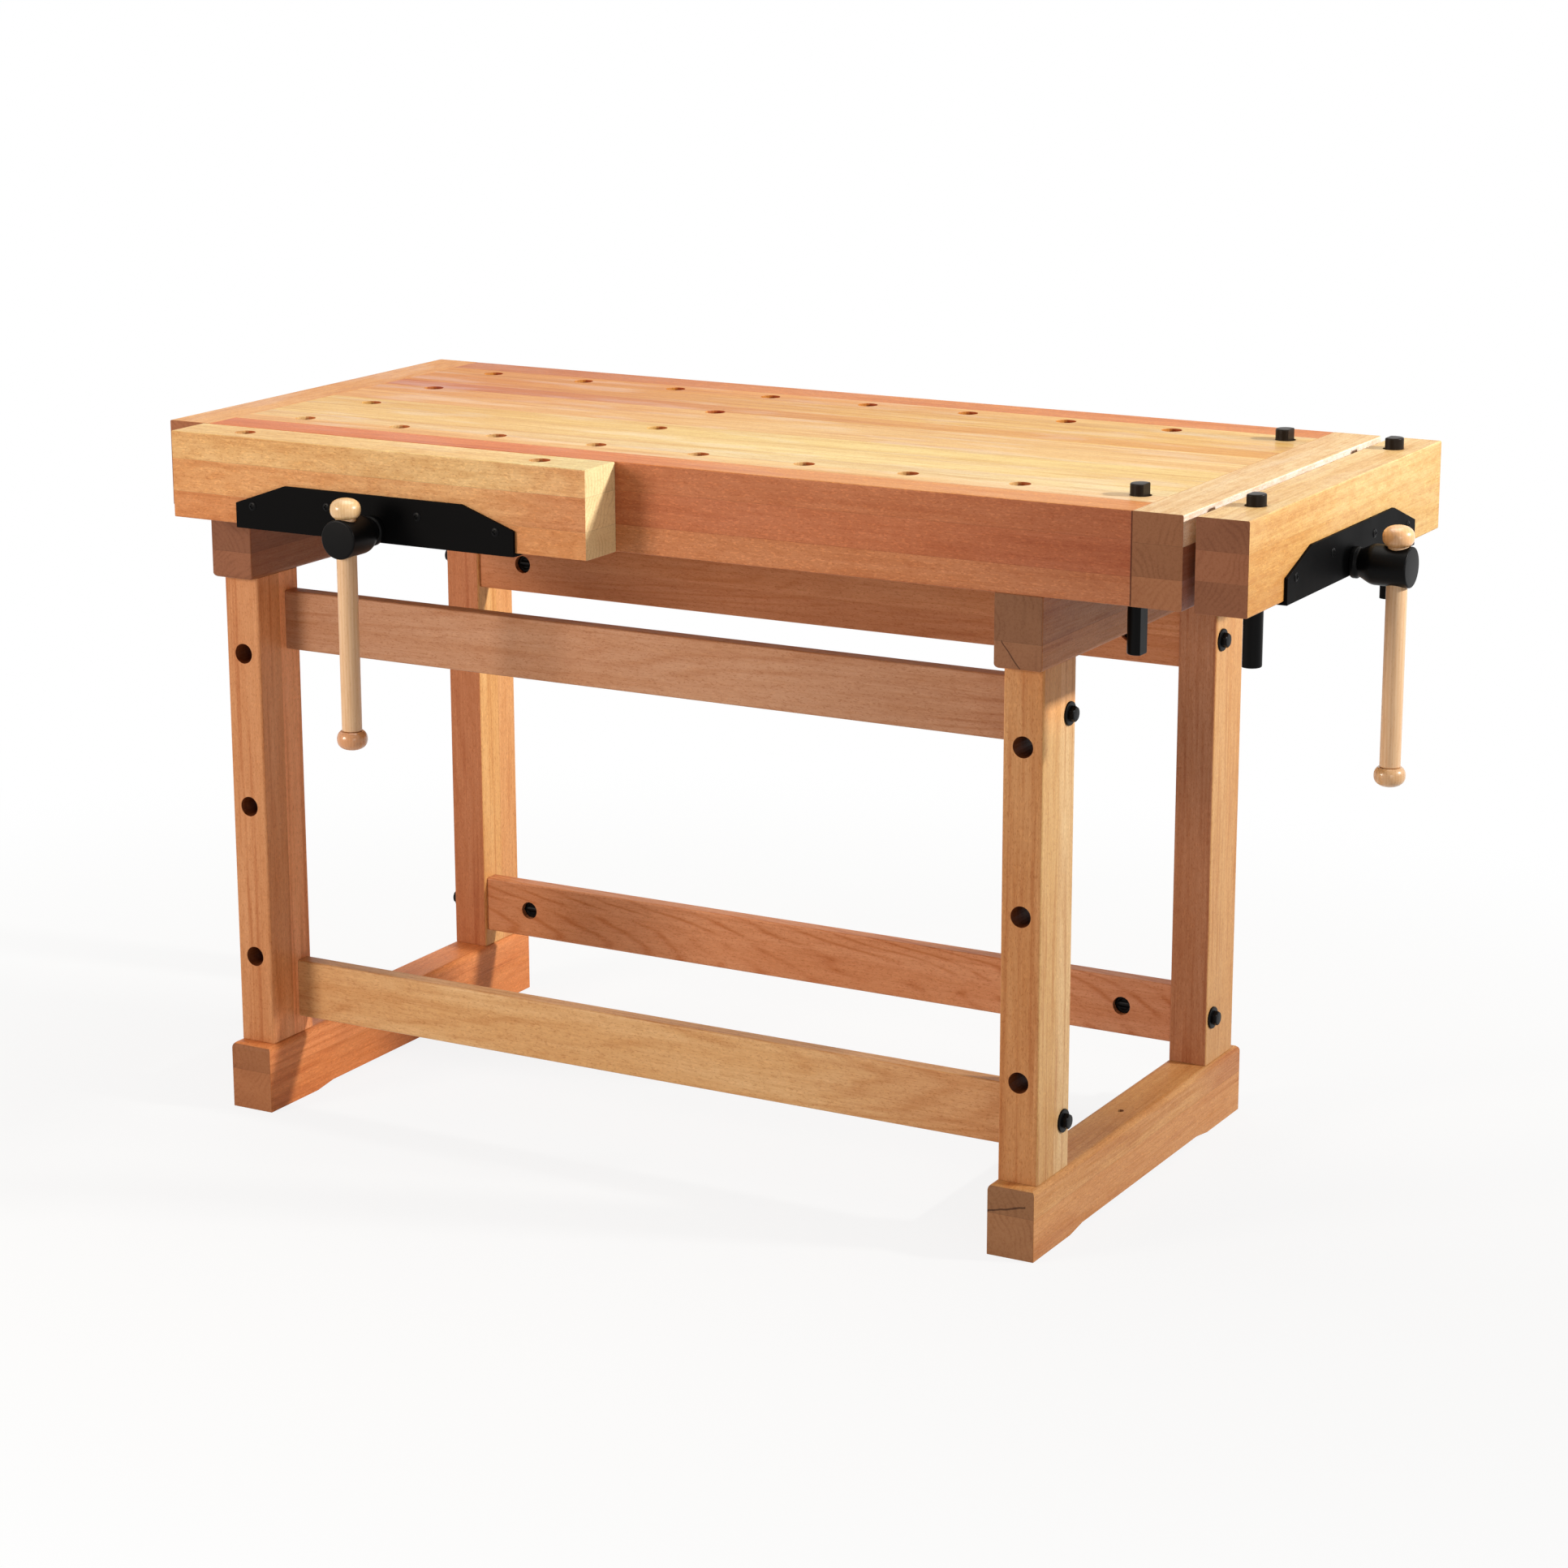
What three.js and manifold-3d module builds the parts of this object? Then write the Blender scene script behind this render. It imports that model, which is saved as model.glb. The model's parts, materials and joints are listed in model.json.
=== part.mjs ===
// Woodworking bench with a front vise, an end vise and four steel bench dogs.
// Millimetres, +X to the right along the bench, +Y to the back, +Z up.
// The bench is laid out from the left end of its top, the face of its front apron and the floor,
// and the finished group is then centred over the middle of its own footprint.
import * as THREE from 'three';
import { mergeVertices } from 'three/addons/utils/BufferGeometryUtils.js';
import Module from 'manifold-3d';

const wasm = await Module();
wasm.setup();

// Bench top
const benchHeight = 920;
const topLength = 1410;
const topWidth = 616;
const apronHeight = 110;
const apronThickness = 56;
const endCapWidth = 62;
const panelThickness = 45;
const glueLine = 0.2; // gap between boards that meet
const boardEase = 2; // radius on the outer edges of the top and the jaws

// Dog holes and bench dogs
const dogDiameter = 25;
const dogClearance = 1;
const dogLength = 200;
const dogHeadHeight = 14; // how far a dog stands out of the top
const dogFlatDepth = 5; // the flat that faces the work, along the whole dog
const dogChamfer = 2;
const columnCount = 9;
const rowCount = 4;
const firstColumn = 145; // left end of the top to the first column of holes
const lastColumn = 94; // last column to the right end
const columnShift = 6.5; // columns seven and eight sit this much left of the even pitch
const frontRow = 94; // front face to the first row
const rearRow = 83; // last row to the back face
const crossColumns = [0, 3]; // columns that are drilled in every row

// Trestles
const legWidth = 52; // along the bench
const legDepth = 88;
const legEase = 3;
const leftLegInset = 62; // left end of the top to the left legs
const rightLegInset = 177;
const footWidth = 62;
const footHeight = 90;
const footSetback = 2; // front apron to the front end of foot and bearer
const footReach = 18; // how far foot and bearer reach behind the top
const footOverhang = 17.5; // foot beyond the outer faces of the legs
const footRound = 8;
const footPad = 105; // part of the foot that stands on the floor, at each end
const footRelief = 5; // hollow under the foot between its pads
const footReliefSlope = 35;
const footHoleDiameter = 9; // floor fixing hole in the middle of each foot
const bearerHeight = 90;
const bearerRound = 6;
const tenonWidth = 20;
const tenonDepth = 60;
const tenonLength = 45;
const tenonClearance = 0.3;
const legHoleCount = 3;
const legHoleRise = 126; // foot to the lowest hole in a front leg
const legHoleDrop = 94; // highest hole to the bearer
const leftHoleDrop = 8; // holes in the left leg sit lower than in the right leg

// Rails and their bolts
const railHeight = 78;
const railThickness = 24;
const railEase = 3;
const railInset = 18; // inner face of the legs to the middle of a rail
const upperRailDrop = 65; // bearer to the middle of an upper rail
const lowerRailRise = 62; // foot to the middle of a lower rail
const boltDiameter = 10;
const boltClearance = 1;
const boltHeadWidth = 17; // across the flats
const boltHeadHeight = 7;
const washerDiameter = 29;
const washerThickness = 2.5;
const boltPastNut = 6;
const nutDiameter = 24; // barrel nut across the rail
const nutClearance = 1;
const nutLength = 17;
const nutSetback = 71.5; // rail end to the barrel nut
const nutSkin = 4; // wood left behind the blind nut hole

// Vises
const viseTravel = 145; // widest opening of a jaw
const frontJawLeft = 55; // left end of the top to the front jaw
const frontJawLength = 614;
const frontJawThickness = 68;
const frontRestGap = 0.3; // the front jaw is shut
const endJawThickness = 64;
const endRestGap = 15; // the end jaw stands a little open
const screwDiameter = 19;
const screwClearance = 0.6;
const screwRise = 10.5; // underside of the jaw to the screw
const screwSpare = 8; // screw and guides past the bracket at full opening
const guideDiameter = 20;
const guideClearance = 0.4;
const guideSpan = 300;
const guideRise = 28;
const plateWidth = 414;
const plateRise = 54; // underside of the jaw to the top of the plate
const plateShoulder = 27.5; // underside of the jaw to the foot of the corner cuts
const plateCorner = 75; // width of the corner cuts
const plateThickness = 4;
const flangeClearance = 2; // flange under the jaw to a dog hole
const hubDiameter = 49;
const hubLength = 72.5;
const hubCone = 25; // from the plate to the full diameter
const hubNeckDiameter = 32;
const hubCollarDiameter = 38;
const hubCollarLength = 7;
const hubChamfer = 2.5;
const collarDiameter = 32; // ring that draws the jaw back with the screw
const collarLength = 8;
const collarSetback = 1; // inside the back face of the jaw
const collarClearance = 0.3;
const collarRoom = 1;
const bracketThickness = 6;
const bracketMargin = 20; // bracket past the guide axes
const bracketDrop = 9; // underside of the top panel to the bracket
const bossLength = 24;
const nutBossDiameter = 34;
const guideBossDiameter = 30;
const passageClearance = 1.5; // screw and guides through the bench
const handleDiameter = 25;
const handleClearance = 1;
const handleLength = 266; // between the knobs
const handleStation = 54.7; // plate to the handle
const handleChamfer = 1.5;
const handleTenonDiameter = 16;
const handleTenonLength = 12;
const knobDiameter = 38;
const knobHeight = 24;
const knobSeatDiameter = 28; // flat face towards the handle
const knobClearance = 0.3;

// Facets
const holeSides = 20;
const turnedSides = 24;
const knobSides = 20;
const nutSides = 16;
const hiddenSides = 12; // bolts, bores and bosses under the bench
const easeSteps = 3;

// Places that several pieces share
const overcut = 1; // how far a cutter passes the surface it opens
const undersideZ = benchHeight - apronHeight;
const dogHoleDiameter = dogDiameter + dogClearance;
const columnPitch = (topLength - firstColumn - lastColumn) / (columnCount - 1);
const rowPitch = (topWidth - frontRow - rearRow) / (rowCount - 1);
const backRow = topWidth - rearRow;
const rowMiddle = (frontRow + backRow) / 2;
const columns = Array.from({ length: columnCount }, (_, index) => {
  const shifted = index === columnCount - 3 || index === columnCount - 2;
  return firstColumn + index * columnPitch - (shifted ? columnShift : 0);
});
const leftLegX = leftLegInset + legWidth / 2;
const rightLegX = topLength - rightLegInset - legWidth / 2;
const footFront = footSetback;
const footBack = topWidth + footReach;
const frontLegY = footFront + footOverhang + legDepth / 2;
const rearLegY = footBack - footOverhang - legDepth / 2;
const legBottom = footHeight;
const legTop = undersideZ - bearerHeight;
const frontRailY = frontLegY + legDepth / 2 - railInset;
const rearRailY = rearLegY - legDepth / 2 + railInset;
const upperRailZ = legTop - upperRailDrop;
const lowerRailZ = legBottom + lowerRailRise;
const screwZ = undersideZ + screwRise;
const guideZ = undersideZ + guideRise;
const frontScrewX = frontJawLeft + frontJawLength / 2;

// Finishes
const finishes = {
  topBeech: { color: 0xe0b076, roughness: 0.5, metalness: 0 },
  frameBeech: { color: 0xcf9458, roughness: 0.55, metalness: 0 },
  jawBeech: { color: 0xd9a163, roughness: 0.5, metalness: 0 },
  handleBeech: { color: 0xdcb98a, roughness: 0.4, metalness: 0 },
  knobBeech: { color: 0xcf9552, roughness: 0.25, metalness: 0 },
  blackSteel: { color: 0x171717, roughness: 0.45, metalness: 0.6 },
  brightSteel: { color: 0x8d9094, roughness: 0.35, metalness: 0.9 },
};

// Closed geometry with shared corners, as a solid that can be joined and cut.
function solid(geometry) {
  const bare = geometry.clone();
  bare.deleteAttribute('normal');
  bare.deleteAttribute('uv');
  const merged = mergeVertices(bare, 1e-4);
  const corners = merged.index.array;
  const kept = [];
  for (let i = 0; i < corners.length; i += 3) {
    const [a, b, c] = [corners[i], corners[i + 1], corners[i + 2]];
    if (a !== b && b !== c && c !== a) kept.push(a, b, c);
  }
  return new wasm.Manifold(new wasm.Mesh({
    numProp: 3,
    vertProperties: new Float32Array(merged.attributes.position.array),
    triVerts: new Uint32Array(kept),
  }));
}

function cut(body, cutters) {
  return cutters.reduce((left, cutter) => left.subtract(cutter), body);
}

function join(bodies) {
  return bodies.reduce((sum, body) => sum.add(body));
}

function piece(name, body, finish) {
  const { vertProperties, triVerts } = body.getMesh();
  const geometry = new THREE.BufferGeometry();
  geometry.setAttribute('position', new THREE.BufferAttribute(new Float32Array(vertProperties), 3));
  geometry.setIndex(new THREE.BufferAttribute(new Uint32Array(triVerts), 1));
  geometry.computeVertexNormals();
  const mesh = new THREE.Mesh(geometry, new THREE.MeshStandardMaterial(finishes[finish]));
  mesh.name = name;
  return mesh;
}

// The three ways that an outline is carried: along X it lies in Y and Z, along Y in Z and X.
const carriers = {
  x: new THREE.Matrix4().set(0, 0, 1, 0, 1, 0, 0, 0, 0, 1, 0, 0, 0, 0, 0, 1),
  y: new THREE.Matrix4().set(0, 1, 0, 0, 0, 0, 1, 0, 1, 0, 0, 0, 0, 0, 0, 1),
  z: new THREE.Matrix4(),
};

function carried(outline, axis, from, to) {
  const geometry = new THREE.ExtrudeGeometry(outline, {
    depth: to - from,
    bevelEnabled: false,
    curveSegments: easeSteps,
  });
  geometry.translate(0, 0, from);
  geometry.applyMatrix4(carriers[axis]);
  return geometry;
}

// A rectangle whose corners are rounded one by one, from the low corner round to the left.
function roundedOutline(u0, u1, v0, v1, radii) {
  const [lowLeft, lowRight, highRight, highLeft] = radii;
  const outline = new THREE.Shape();
  const quarter = Math.PI / 2;
  const corner = (u, v, radius, start) => {
    if (radius > 0) outline.absarc(u, v, radius, start, start + quarter, false);
    else outline.lineTo(u, v);
  };
  outline.moveTo(u0 + lowLeft, v0);
  corner(u1 - lowRight, v0 + lowRight, lowRight, -quarter);
  corner(u1 - highRight, v1 - highRight, highRight, 0);
  corner(u0 + highLeft, v1 - highLeft, highLeft, quarter);
  corner(u0 + lowLeft, v0 + lowLeft, lowLeft, 2 * quarter);
  return outline;
}

function block(x0, x1, y0, y1, z0, z1) {
  const geometry = new THREE.BoxGeometry(x1 - x0, y1 - y0, z1 - z0);
  geometry.translate((x0 + x1) / 2, (y0 + y1) / 2, (z0 + z1) / 2);
  return geometry;
}

function rod(axis, radius, from, to, sides = holeSides) {
  const geometry = new THREE.CylinderGeometry(radius, radius, to - from, sides);
  geometry.translate(0, (from + to) / 2, 0);
  if (axis === 'x') geometry.rotateZ(-Math.PI / 2);
  if (axis === 'z') geometry.rotateX(Math.PI / 2);
  return geometry;
}

// A turned piece: pairs of radius and height, about Z.
function turned(profile, sides = turnedSides) {
  const points = profile.map(([radius, height]) => new THREE.Vector2(radius, height));
  const geometry = new THREE.LatheGeometry(points, sides);
  geometry.rotateX(Math.PI / 2);
  return geometry;
}

function dogHole(x, y) {
  const drill = rod('z', dogHoleDiameter / 2, undersideZ - overcut, benchHeight + overcut);
  return solid(drill.translate(x, y, 0));
}

// Vises: made with the jaw opening towards -Y from the face at y = 0, and the screw at x = 0.
const visePlaces = {
  front: new THREE.Matrix4().makeTranslation(frontScrewX, 0, 0),
  end: new THREE.Matrix4().makeTranslation(topLength, rowMiddle, 0)
    .multiply(new THREE.Matrix4().makeRotationZ(Math.PI / 2)),
};

// A round channel about the screw, open to the underside below it.
function screwChannel(radius, from, to) {
  const round = rod('y', radius, from, to, hiddenSides).translate(0, 0, screwZ);
  const slot = block(-radius, radius, from, to, undersideZ - collarDiameter, screwZ);
  return [round, slot];
}

function guideBores(radius, from, to) {
  return [-1, 1].map((side) => {
    const bore = rod('y', radius, from, to, hiddenSides);
    return bore.translate(side * guideSpan / 2, 0, guideZ);
  });
}

// What a vise needs to pass through the board that it closes on.
function visePassages(place, boardThickness) {
  const from = -overcut;
  const to = boardThickness + overcut;
  const channel = screwChannel(screwDiameter / 2 + passageClearance, from, to);
  const bores = guideBores(guideDiameter / 2 + passageClearance, from, to);
  return [...channel, ...bores].map((cutter) => solid(cutter.applyMatrix4(place)));
}

// Bench top: two aprons, two end caps, two dog rails and a middle panel.
function buildTop() {
  const apronStart = endCapWidth + glueLine;
  const apronEnd = topLength - endCapWidth - glueLine;
  const railFrontY = apronThickness + glueLine;
  const railBackY = 2 * frontRow - railFrontY;
  const rearRailBackY = topWidth - apronThickness - glueLine;
  const rearRailFrontY = 2 * backRow - rearRailBackY;
  const panelBottom = benchHeight - panelThickness;
  const e = boardEase;
  const board = (y0, y1, z0, radii) =>
    solid(carried(roundedOutline(y0, y1, z0, benchHeight, radii), 'x', apronStart, apronEnd));
  const endCap = (x0, x1, radii) =>
    solid(carried(roundedOutline(undersideZ, benchHeight, x0, x1, radii), 'y', 0, topWidth));

  const frontApron = cut(
    board(0, apronThickness, undersideZ, [e, 0, 0, e]),
    visePassages(visePlaces.front, apronThickness),
  );
  const rearApron = board(topWidth - apronThickness, topWidth, undersideZ, [0, e, e, 0]);
  const leftCap = endCap(0, endCapWidth, [e, e, 0, 0]);
  const rightCap = cut(
    endCap(topLength - endCapWidth, topLength, [0, 0, e, e]),
    visePassages(visePlaces.end, endCapWidth),
  );
  const square = [0, 0, 0, 0];
  const frontDogRail = cut(
    board(railFrontY, railBackY, panelBottom, square),
    columns.map((x) => dogHole(x, frontRow)),
  );
  const rearDogRail = cut(
    board(rearRailFrontY, rearRailBackY, panelBottom, square),
    columns.map((x) => dogHole(x, backRow)),
  );
  const middleRows = Array.from({ length: rowCount - 2 }, (_, index) => frontRow + (index + 1) * rowPitch);
  const middlePanel = cut(
    board(railBackY + glueLine, rearRailFrontY - glueLine, panelBottom, square),
    crossColumns.flatMap((column) => middleRows.map((y) => dogHole(columns[column], y))),
  );
  return [
    piece('front_apron', frontApron, 'frameBeech'),
    piece('rear_apron', rearApron, 'frameBeech'),
    piece('left_end_cap', leftCap, 'topBeech'),
    piece('right_end_cap', rightCap, 'topBeech'),
    piece('front_dog_rail', frontDogRail, 'topBeech'),
    piece('rear_dog_rail', rearDogRail, 'topBeech'),
    piece('middle_panel', middlePanel, 'topBeech'),
  ];
}

// What an end outline carried along Y and a side outline carried along X have in common.
function crossed(endOutline, sideOutline, x0, x1) {
  const lengthways = solid(carried(endOutline, 'y', footFront, footBack));
  return lengthways.intersect(solid(carried(sideOutline, 'x', x0, x1)));
}

// One trestle: a foot, two tenoned legs and a bearer under the top.
function buildTrestle(side, legX, holeDrop) {
  const x0 = legX - footWidth / 2;
  const x1 = legX + footWidth / 2;
  const mortise = (y, z0, z1) => solid(block(
    legX - tenonWidth / 2 - tenonClearance,
    legX + tenonWidth / 2 + tenonClearance,
    y - tenonDepth / 2 - tenonClearance,
    y + tenonDepth / 2 + tenonClearance,
    z0,
    z1,
  ));
  const legRows = [frontLegY, rearLegY];

  const f = footRound;
  const footEnd = roundedOutline(0, footHeight, x0, x1, [0, f, f, 0]);
  const footSide = roundedOutline(footFront, footBack, 0, footHeight, [0, 0, f, f]);
  const footBlock = crossed(footEnd, footSide, x0, x1);
  const hollow = new THREE.Shape();
  hollow.moveTo(footFront + footPad, -overcut);
  hollow.lineTo(footFront + footPad, 0);
  hollow.lineTo(footFront + footPad + footReliefSlope, footRelief);
  hollow.lineTo(footBack - footPad - footReliefSlope, footRelief);
  hollow.lineTo(footBack - footPad, 0);
  hollow.lineTo(footBack - footPad, -overcut);
  const fixing = rod('z', footHoleDiameter / 2, -overcut, footHeight + overcut, hiddenSides);
  const foot = cut(footBlock, [
    solid(carried(hollow, 'x', x0 - overcut, x1 + overcut)),
    solid(fixing.translate(legX, (footFront + footBack) / 2, 0)),
    ...legRows.map((y) => mortise(y, footHeight - tenonLength - overcut, footHeight + overcut)),
  ]);

  const b = bearerRound;
  const bearerTop = undersideZ - glueLine;
  const bearerEnd = roundedOutline(legTop, bearerTop, x0, x1, [b, 0, 0, b]);
  const bearerSide = roundedOutline(footFront, footBack, legTop, bearerTop, [b, b, 0, 0]);
  const bearer = cut(
    crossed(bearerEnd, bearerSide, x0, x1),
    legRows.map((y) => mortise(y, legTop - overcut, legTop + tenonLength + overcut)),
  );

  const outward = side === 'left' ? -1 : 1;
  const leg = (y, railY, holed) => {
    const ease = Array(4).fill(legEase);
    const outline = roundedOutline(
      legX - legWidth / 2, legX + legWidth / 2, y - legDepth / 2, y + legDepth / 2, ease);
    const shaft = solid(carried(outline, 'z', legBottom + glueLine, legTop - glueLine));
    const tenon = solid(block(
      legX - tenonWidth / 2, legX + tenonWidth / 2, y - tenonDepth / 2, y + tenonDepth / 2,
      legBottom - tenonLength, legTop + tenonLength));
    const boltHoles = [upperRailZ, lowerRailZ].map((z) => {
      const reach = legWidth / 2 + overcut;
      const drill = rod('x', (boltDiameter + boltClearance) / 2, -reach, reach, hiddenSides);
      return solid(drill.translate(legX, railY, z));
    });
    const lowest = legBottom + legHoleRise - holeDrop;
    const highest = legTop - legHoleDrop - holeDrop;
    const dogHoles = Array.from({ length: holed ? legHoleCount : 0 }, (_, index) => {
      const z = lowest + index * (highest - lowest) / (legHoleCount - 1);
      const reach = legDepth / 2 + overcut;
      const drill = rod('y', dogHoleDiameter / 2, -reach, reach);
      return solid(drill.translate(legX, y, z));
    });
    return cut(join([shaft, tenon]), [...boltHoles, ...dogHoles]);
  };
  const bolts = [
    ['front_upper', frontRailY, upperRailZ],
    ['front_lower', frontRailY, lowerRailZ],
    ['rear_upper', rearRailY, upperRailZ],
    ['rear_lower', rearRailY, lowerRailZ],
  ].flatMap(([place, y, z]) => buildBolt(`${side}_${place}`, outward, legX, y, z));
  return [
    piece(`${side}_foot`, foot, 'frameBeech'),
    piece(`${side}_bearer`, bearer, 'frameBeech'),
    piece(`${side}_front_leg`, leg(frontLegY, frontRailY, true), 'frameBeech'),
    piece(`${side}_rear_leg`, leg(rearLegY, rearRailY, false), 'frameBeech'),
    ...bolts,
  ];
}

// A hexagon bolt with its washer, through the leg into a barrel nut that lies across the rail.
function buildBolt(place, outward, legX, railY, railZ) {
  const seat = legWidth / 2 + glueLine;
  const headStart = seat + washerThickness;
  const nutAt = legWidth / 2 - legWidth - nutSetback;
  const shankEnd = nutAt - nutDiameter / 2 - boltPastNut;
  const hexRadius = boltHeadWidth / Math.sqrt(3);
  const parts = [
    rod('x', boltDiameter / 2, shankEnd, headStart, hiddenSides),
    rod('x', washerDiameter / 2, seat, headStart, nutSides),
    rod('x', hexRadius, headStart - glueLine, headStart + boltHeadHeight, 6),
  ];
  const turn = new THREE.Matrix4().makeTranslation(legX, railY, railZ);
  if (outward < 0) turn.multiply(new THREE.Matrix4().makeRotationZ(Math.PI));
  const bolt = join(parts.map((part) => solid(part.applyMatrix4(turn))));
  const inward = railY === frontRailY ? 1 : -1;
  const nutMiddle = railY + inward * (nutSkin + glueLine + nutLength / 2 - railThickness / 2);
  const nut = rod('y', nutDiameter / 2, -nutLength / 2, nutLength / 2, nutSides);
  const bore = rod('x', (boltDiameter + nutClearance) / 2, -nutDiameter, nutDiameter, hiddenSides);
  const nutX = legX + outward * nutAt;
  nut.translate(nutX, nutMiddle, railZ);
  bore.translate(nutX, railY, railZ);
  const barrel = solid(nut).subtract(solid(bore));
  return [
    piece(`${place}_rail_bolt`, bolt, 'blackSteel'),
    piece(`${place}_barrel_nut`, barrel, 'brightSteel'),
  ];
}

// Four rails between the trestles, each with a bolt hole and a blind nut hole at both ends.
function buildRails() {
  const from = leftLegX + legWidth / 2 + glueLine;
  const to = rightLegX - legWidth / 2 - glueLine;
  const ease = Array(4).fill(railEase);
  const shankRoom = nutSetback + nutDiameter / 2 + boltPastNut + overcut;
  const rail = (name, y, z, inward) => {
    const outline = roundedOutline(
      y - railThickness / 2, y + railThickness / 2, z - railHeight / 2, z + railHeight / 2, ease);
    const cutters = [1, -1].flatMap((end) => {
      const edge = end > 0 ? from - glueLine : to + glueLine;
      const shank = rod('x', (boltDiameter + boltClearance) / 2, -overcut, shankRoom, hiddenSides);
      if (end < 0) shank.rotateZ(Math.PI);
      const deep = inward * (railThickness / 2 - nutSkin);
      const open = inward * (railThickness / 2 + overcut);
      const nutRadius = (nutDiameter + nutClearance) / 2;
      const nutHole = rod('y', nutRadius, Math.min(-deep, open), Math.max(-deep, open), nutSides);
      return [
        solid(shank.translate(edge, y, z)),
        solid(nutHole.translate(edge + end * nutSetback, y, z)),
      ];
    });
    return piece(name, cut(solid(carried(outline, 'x', from, to)), cutters), 'frameBeech');
  };
  return [
    rail('front_upper_rail', frontRailY, upperRailZ, 1),
    rail('front_lower_rail', frontRailY, lowerRailZ, 1),
    rail('rear_upper_rail', rearRailY, upperRailZ, -1),
    rail('rear_lower_rail', rearRailY, lowerRailZ, -1),
  ];
}

// A round steel dog with chamfered ends and one long flat, which faces along the bench.
function buildDog(name, x, y, flatSide) {
  const radius = dogDiameter / 2;
  const topZ = benchHeight + dogHeadHeight;
  const bottomZ = topZ - dogLength;
  const round = solid(turned([
    [0, bottomZ],
    [radius - dogChamfer, bottomZ],
    [radius, bottomZ + dogChamfer],
    [radius, topZ - dogChamfer],
    [radius - dogChamfer, topZ],
    [0, topZ],
  ]).translate(x, y, 0));
  const flatX = x + flatSide * (radius - dogFlatDepth);
  const [low, high] = flatSide > 0 ? [flatX, flatX + radius] : [flatX - radius, flatX];
  const waste = solid(block(low, high, y - dogDiameter, y + dogDiameter, bottomZ - overcut, topZ + overcut));
  return piece(name, round.subtract(waste), 'blackSteel');
}

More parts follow.
